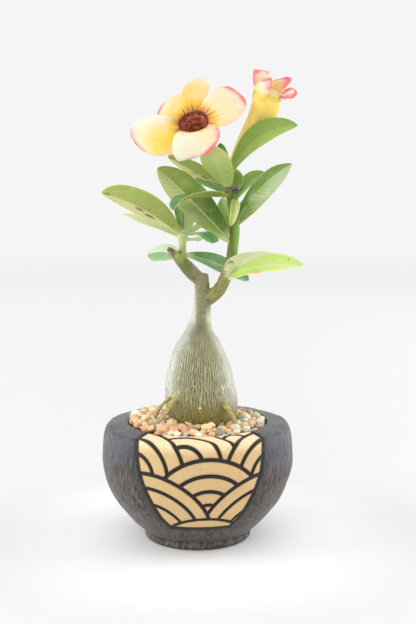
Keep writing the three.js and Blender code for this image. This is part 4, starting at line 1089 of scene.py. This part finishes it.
calyx_finish, tree = new_finish("calyx", 0.5, Subsurface_Weight=0.1, Subsurface_Scale=0.002)
fine = grain(tree, 500, detail=4)
colour = mixed(tree, fine, from_screen(120, 140, 60), from_screen(190, 190, 110))
coat_with(tree, colour, fine, 0.0003)

for name, flower in (("open", OPEN_FLOWER), ("half_open", HALF_OPEN_FLOWER)):
    shape = bmesh.new()
    tube = smooth_path(flower["tube"], 1.2)
    tube[-1][3] += flower["flare"]
    add_tube(shape, tube, TUBE_SIDES, wall=TUBE_WALL)
    for face in shape.faces:
        face.material_index = 2
    # The rings of faces run up the outside and then down the inside.
    throat_start = (len(tube) + flower["plain_rings"]) * TUBE_SIDES
    cone_rows = zip(flower["tube"][1:5], ANTHER_RADII)
    anthers = [[*row[:3], min(radius, row[3] - 0.8)] for row, radius in cone_rows]
    add_tube(shape, smooth_path(anthers, 0.8), 12)
    shape.faces.ensure_lookup_table()
    for face in shape.faces[throat_start:]:
        face.material_index = 3
    blush_layer = shape.verts.layers.float.new("blush")
    gold_layer = shape.verts.layers.float.new("gold")
    for k, lobe in enumerate(flower["lobes"]):
        middle = petal_middle(flower, lobe, k)
        grown = add_blade(shape, PETAL_COLUMNS, PETAL_ROWS, middle, petal_face, petal_face)
        uv = shape.loops.layers.uv.verify()
        left, tip, right = lobe["blush"]
        near_half, far_half = lobe["gold"]
        for vertex in grown:
            spot = vertex.link_loops[0][uv].uv
            s, t = 2 * spot.x - 1, spot.y
            edge = float(eased(abs(s), flower["pink_from"], 1.05)) * (left if s < 0 else right)
            end = tip * float(eased(t, 0.76, 0.99))
            vertex[blush_layer] = min(1.0, edge * float(eased(t, 0.15, 0.5)) + end)
            vertex[gold_layer] = near_half + (far_half - near_half) * float(eased(s, -0.7, 0.7))
    bmesh.ops.recalc_face_normals(shape, faces=shape.faces)
    finishes = [petal_outside, petal_inside, tube_finish, throat_finish]
    corolla = link_piece(f"{name}_flower", shape, finishes)
    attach(corolla, "root")
    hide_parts(f"corolla_{name}")

    shape = bmesh.new()
    base, following = flower["tube"][:2]
    axis, across, up = tube_frame(base, following)
    seat = np.array(base[:3], float)
    start = np.array(flower["stalk"], float)
    foot = seat - 2.2 * axis
    rows = [[*start, STALK_RADIUS], [*((start + foot) / 2), STALK_RADIUS], [*foot, 1.6],
            [*seat, base[3] + 1.1], [*(seat + 1.5 * axis), base[3] + 1.2]]
    add_tube(shape, smooth_path(rows, 0.8), 24)
    for k in range(SEPALS):
        turn = 2 * math.pi * k / SEPALS
        out = across * math.cos(turn) + up * math.sin(turn)
        side = np.cross(axis, out)

        def sepal(s, t):
            wide = s * np.maximum(0.06, SEPAL_WIDTH / 2 * (1 - t**2))
            off = base[3] + 0.9 + 1.6 * t**2 - 0.25 * s**2
            spot = seat + axis * (SEPAL_LENGTH * t)[..., None] + out * off[..., None]
            return spot + side * wide[..., None]

        add_blade(shape, 6, 10, sepal, petal_face, petal_face)
    for face in shape.faces:
        face.material_index = 0
    bmesh.ops.recalc_face_normals(shape, faces=shape.faces)
    calyx = link_piece(f"{name}_flower_calyx", shape, [calyx_finish])
    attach(calyx, "root")
    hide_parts(f"calyx_{name}")
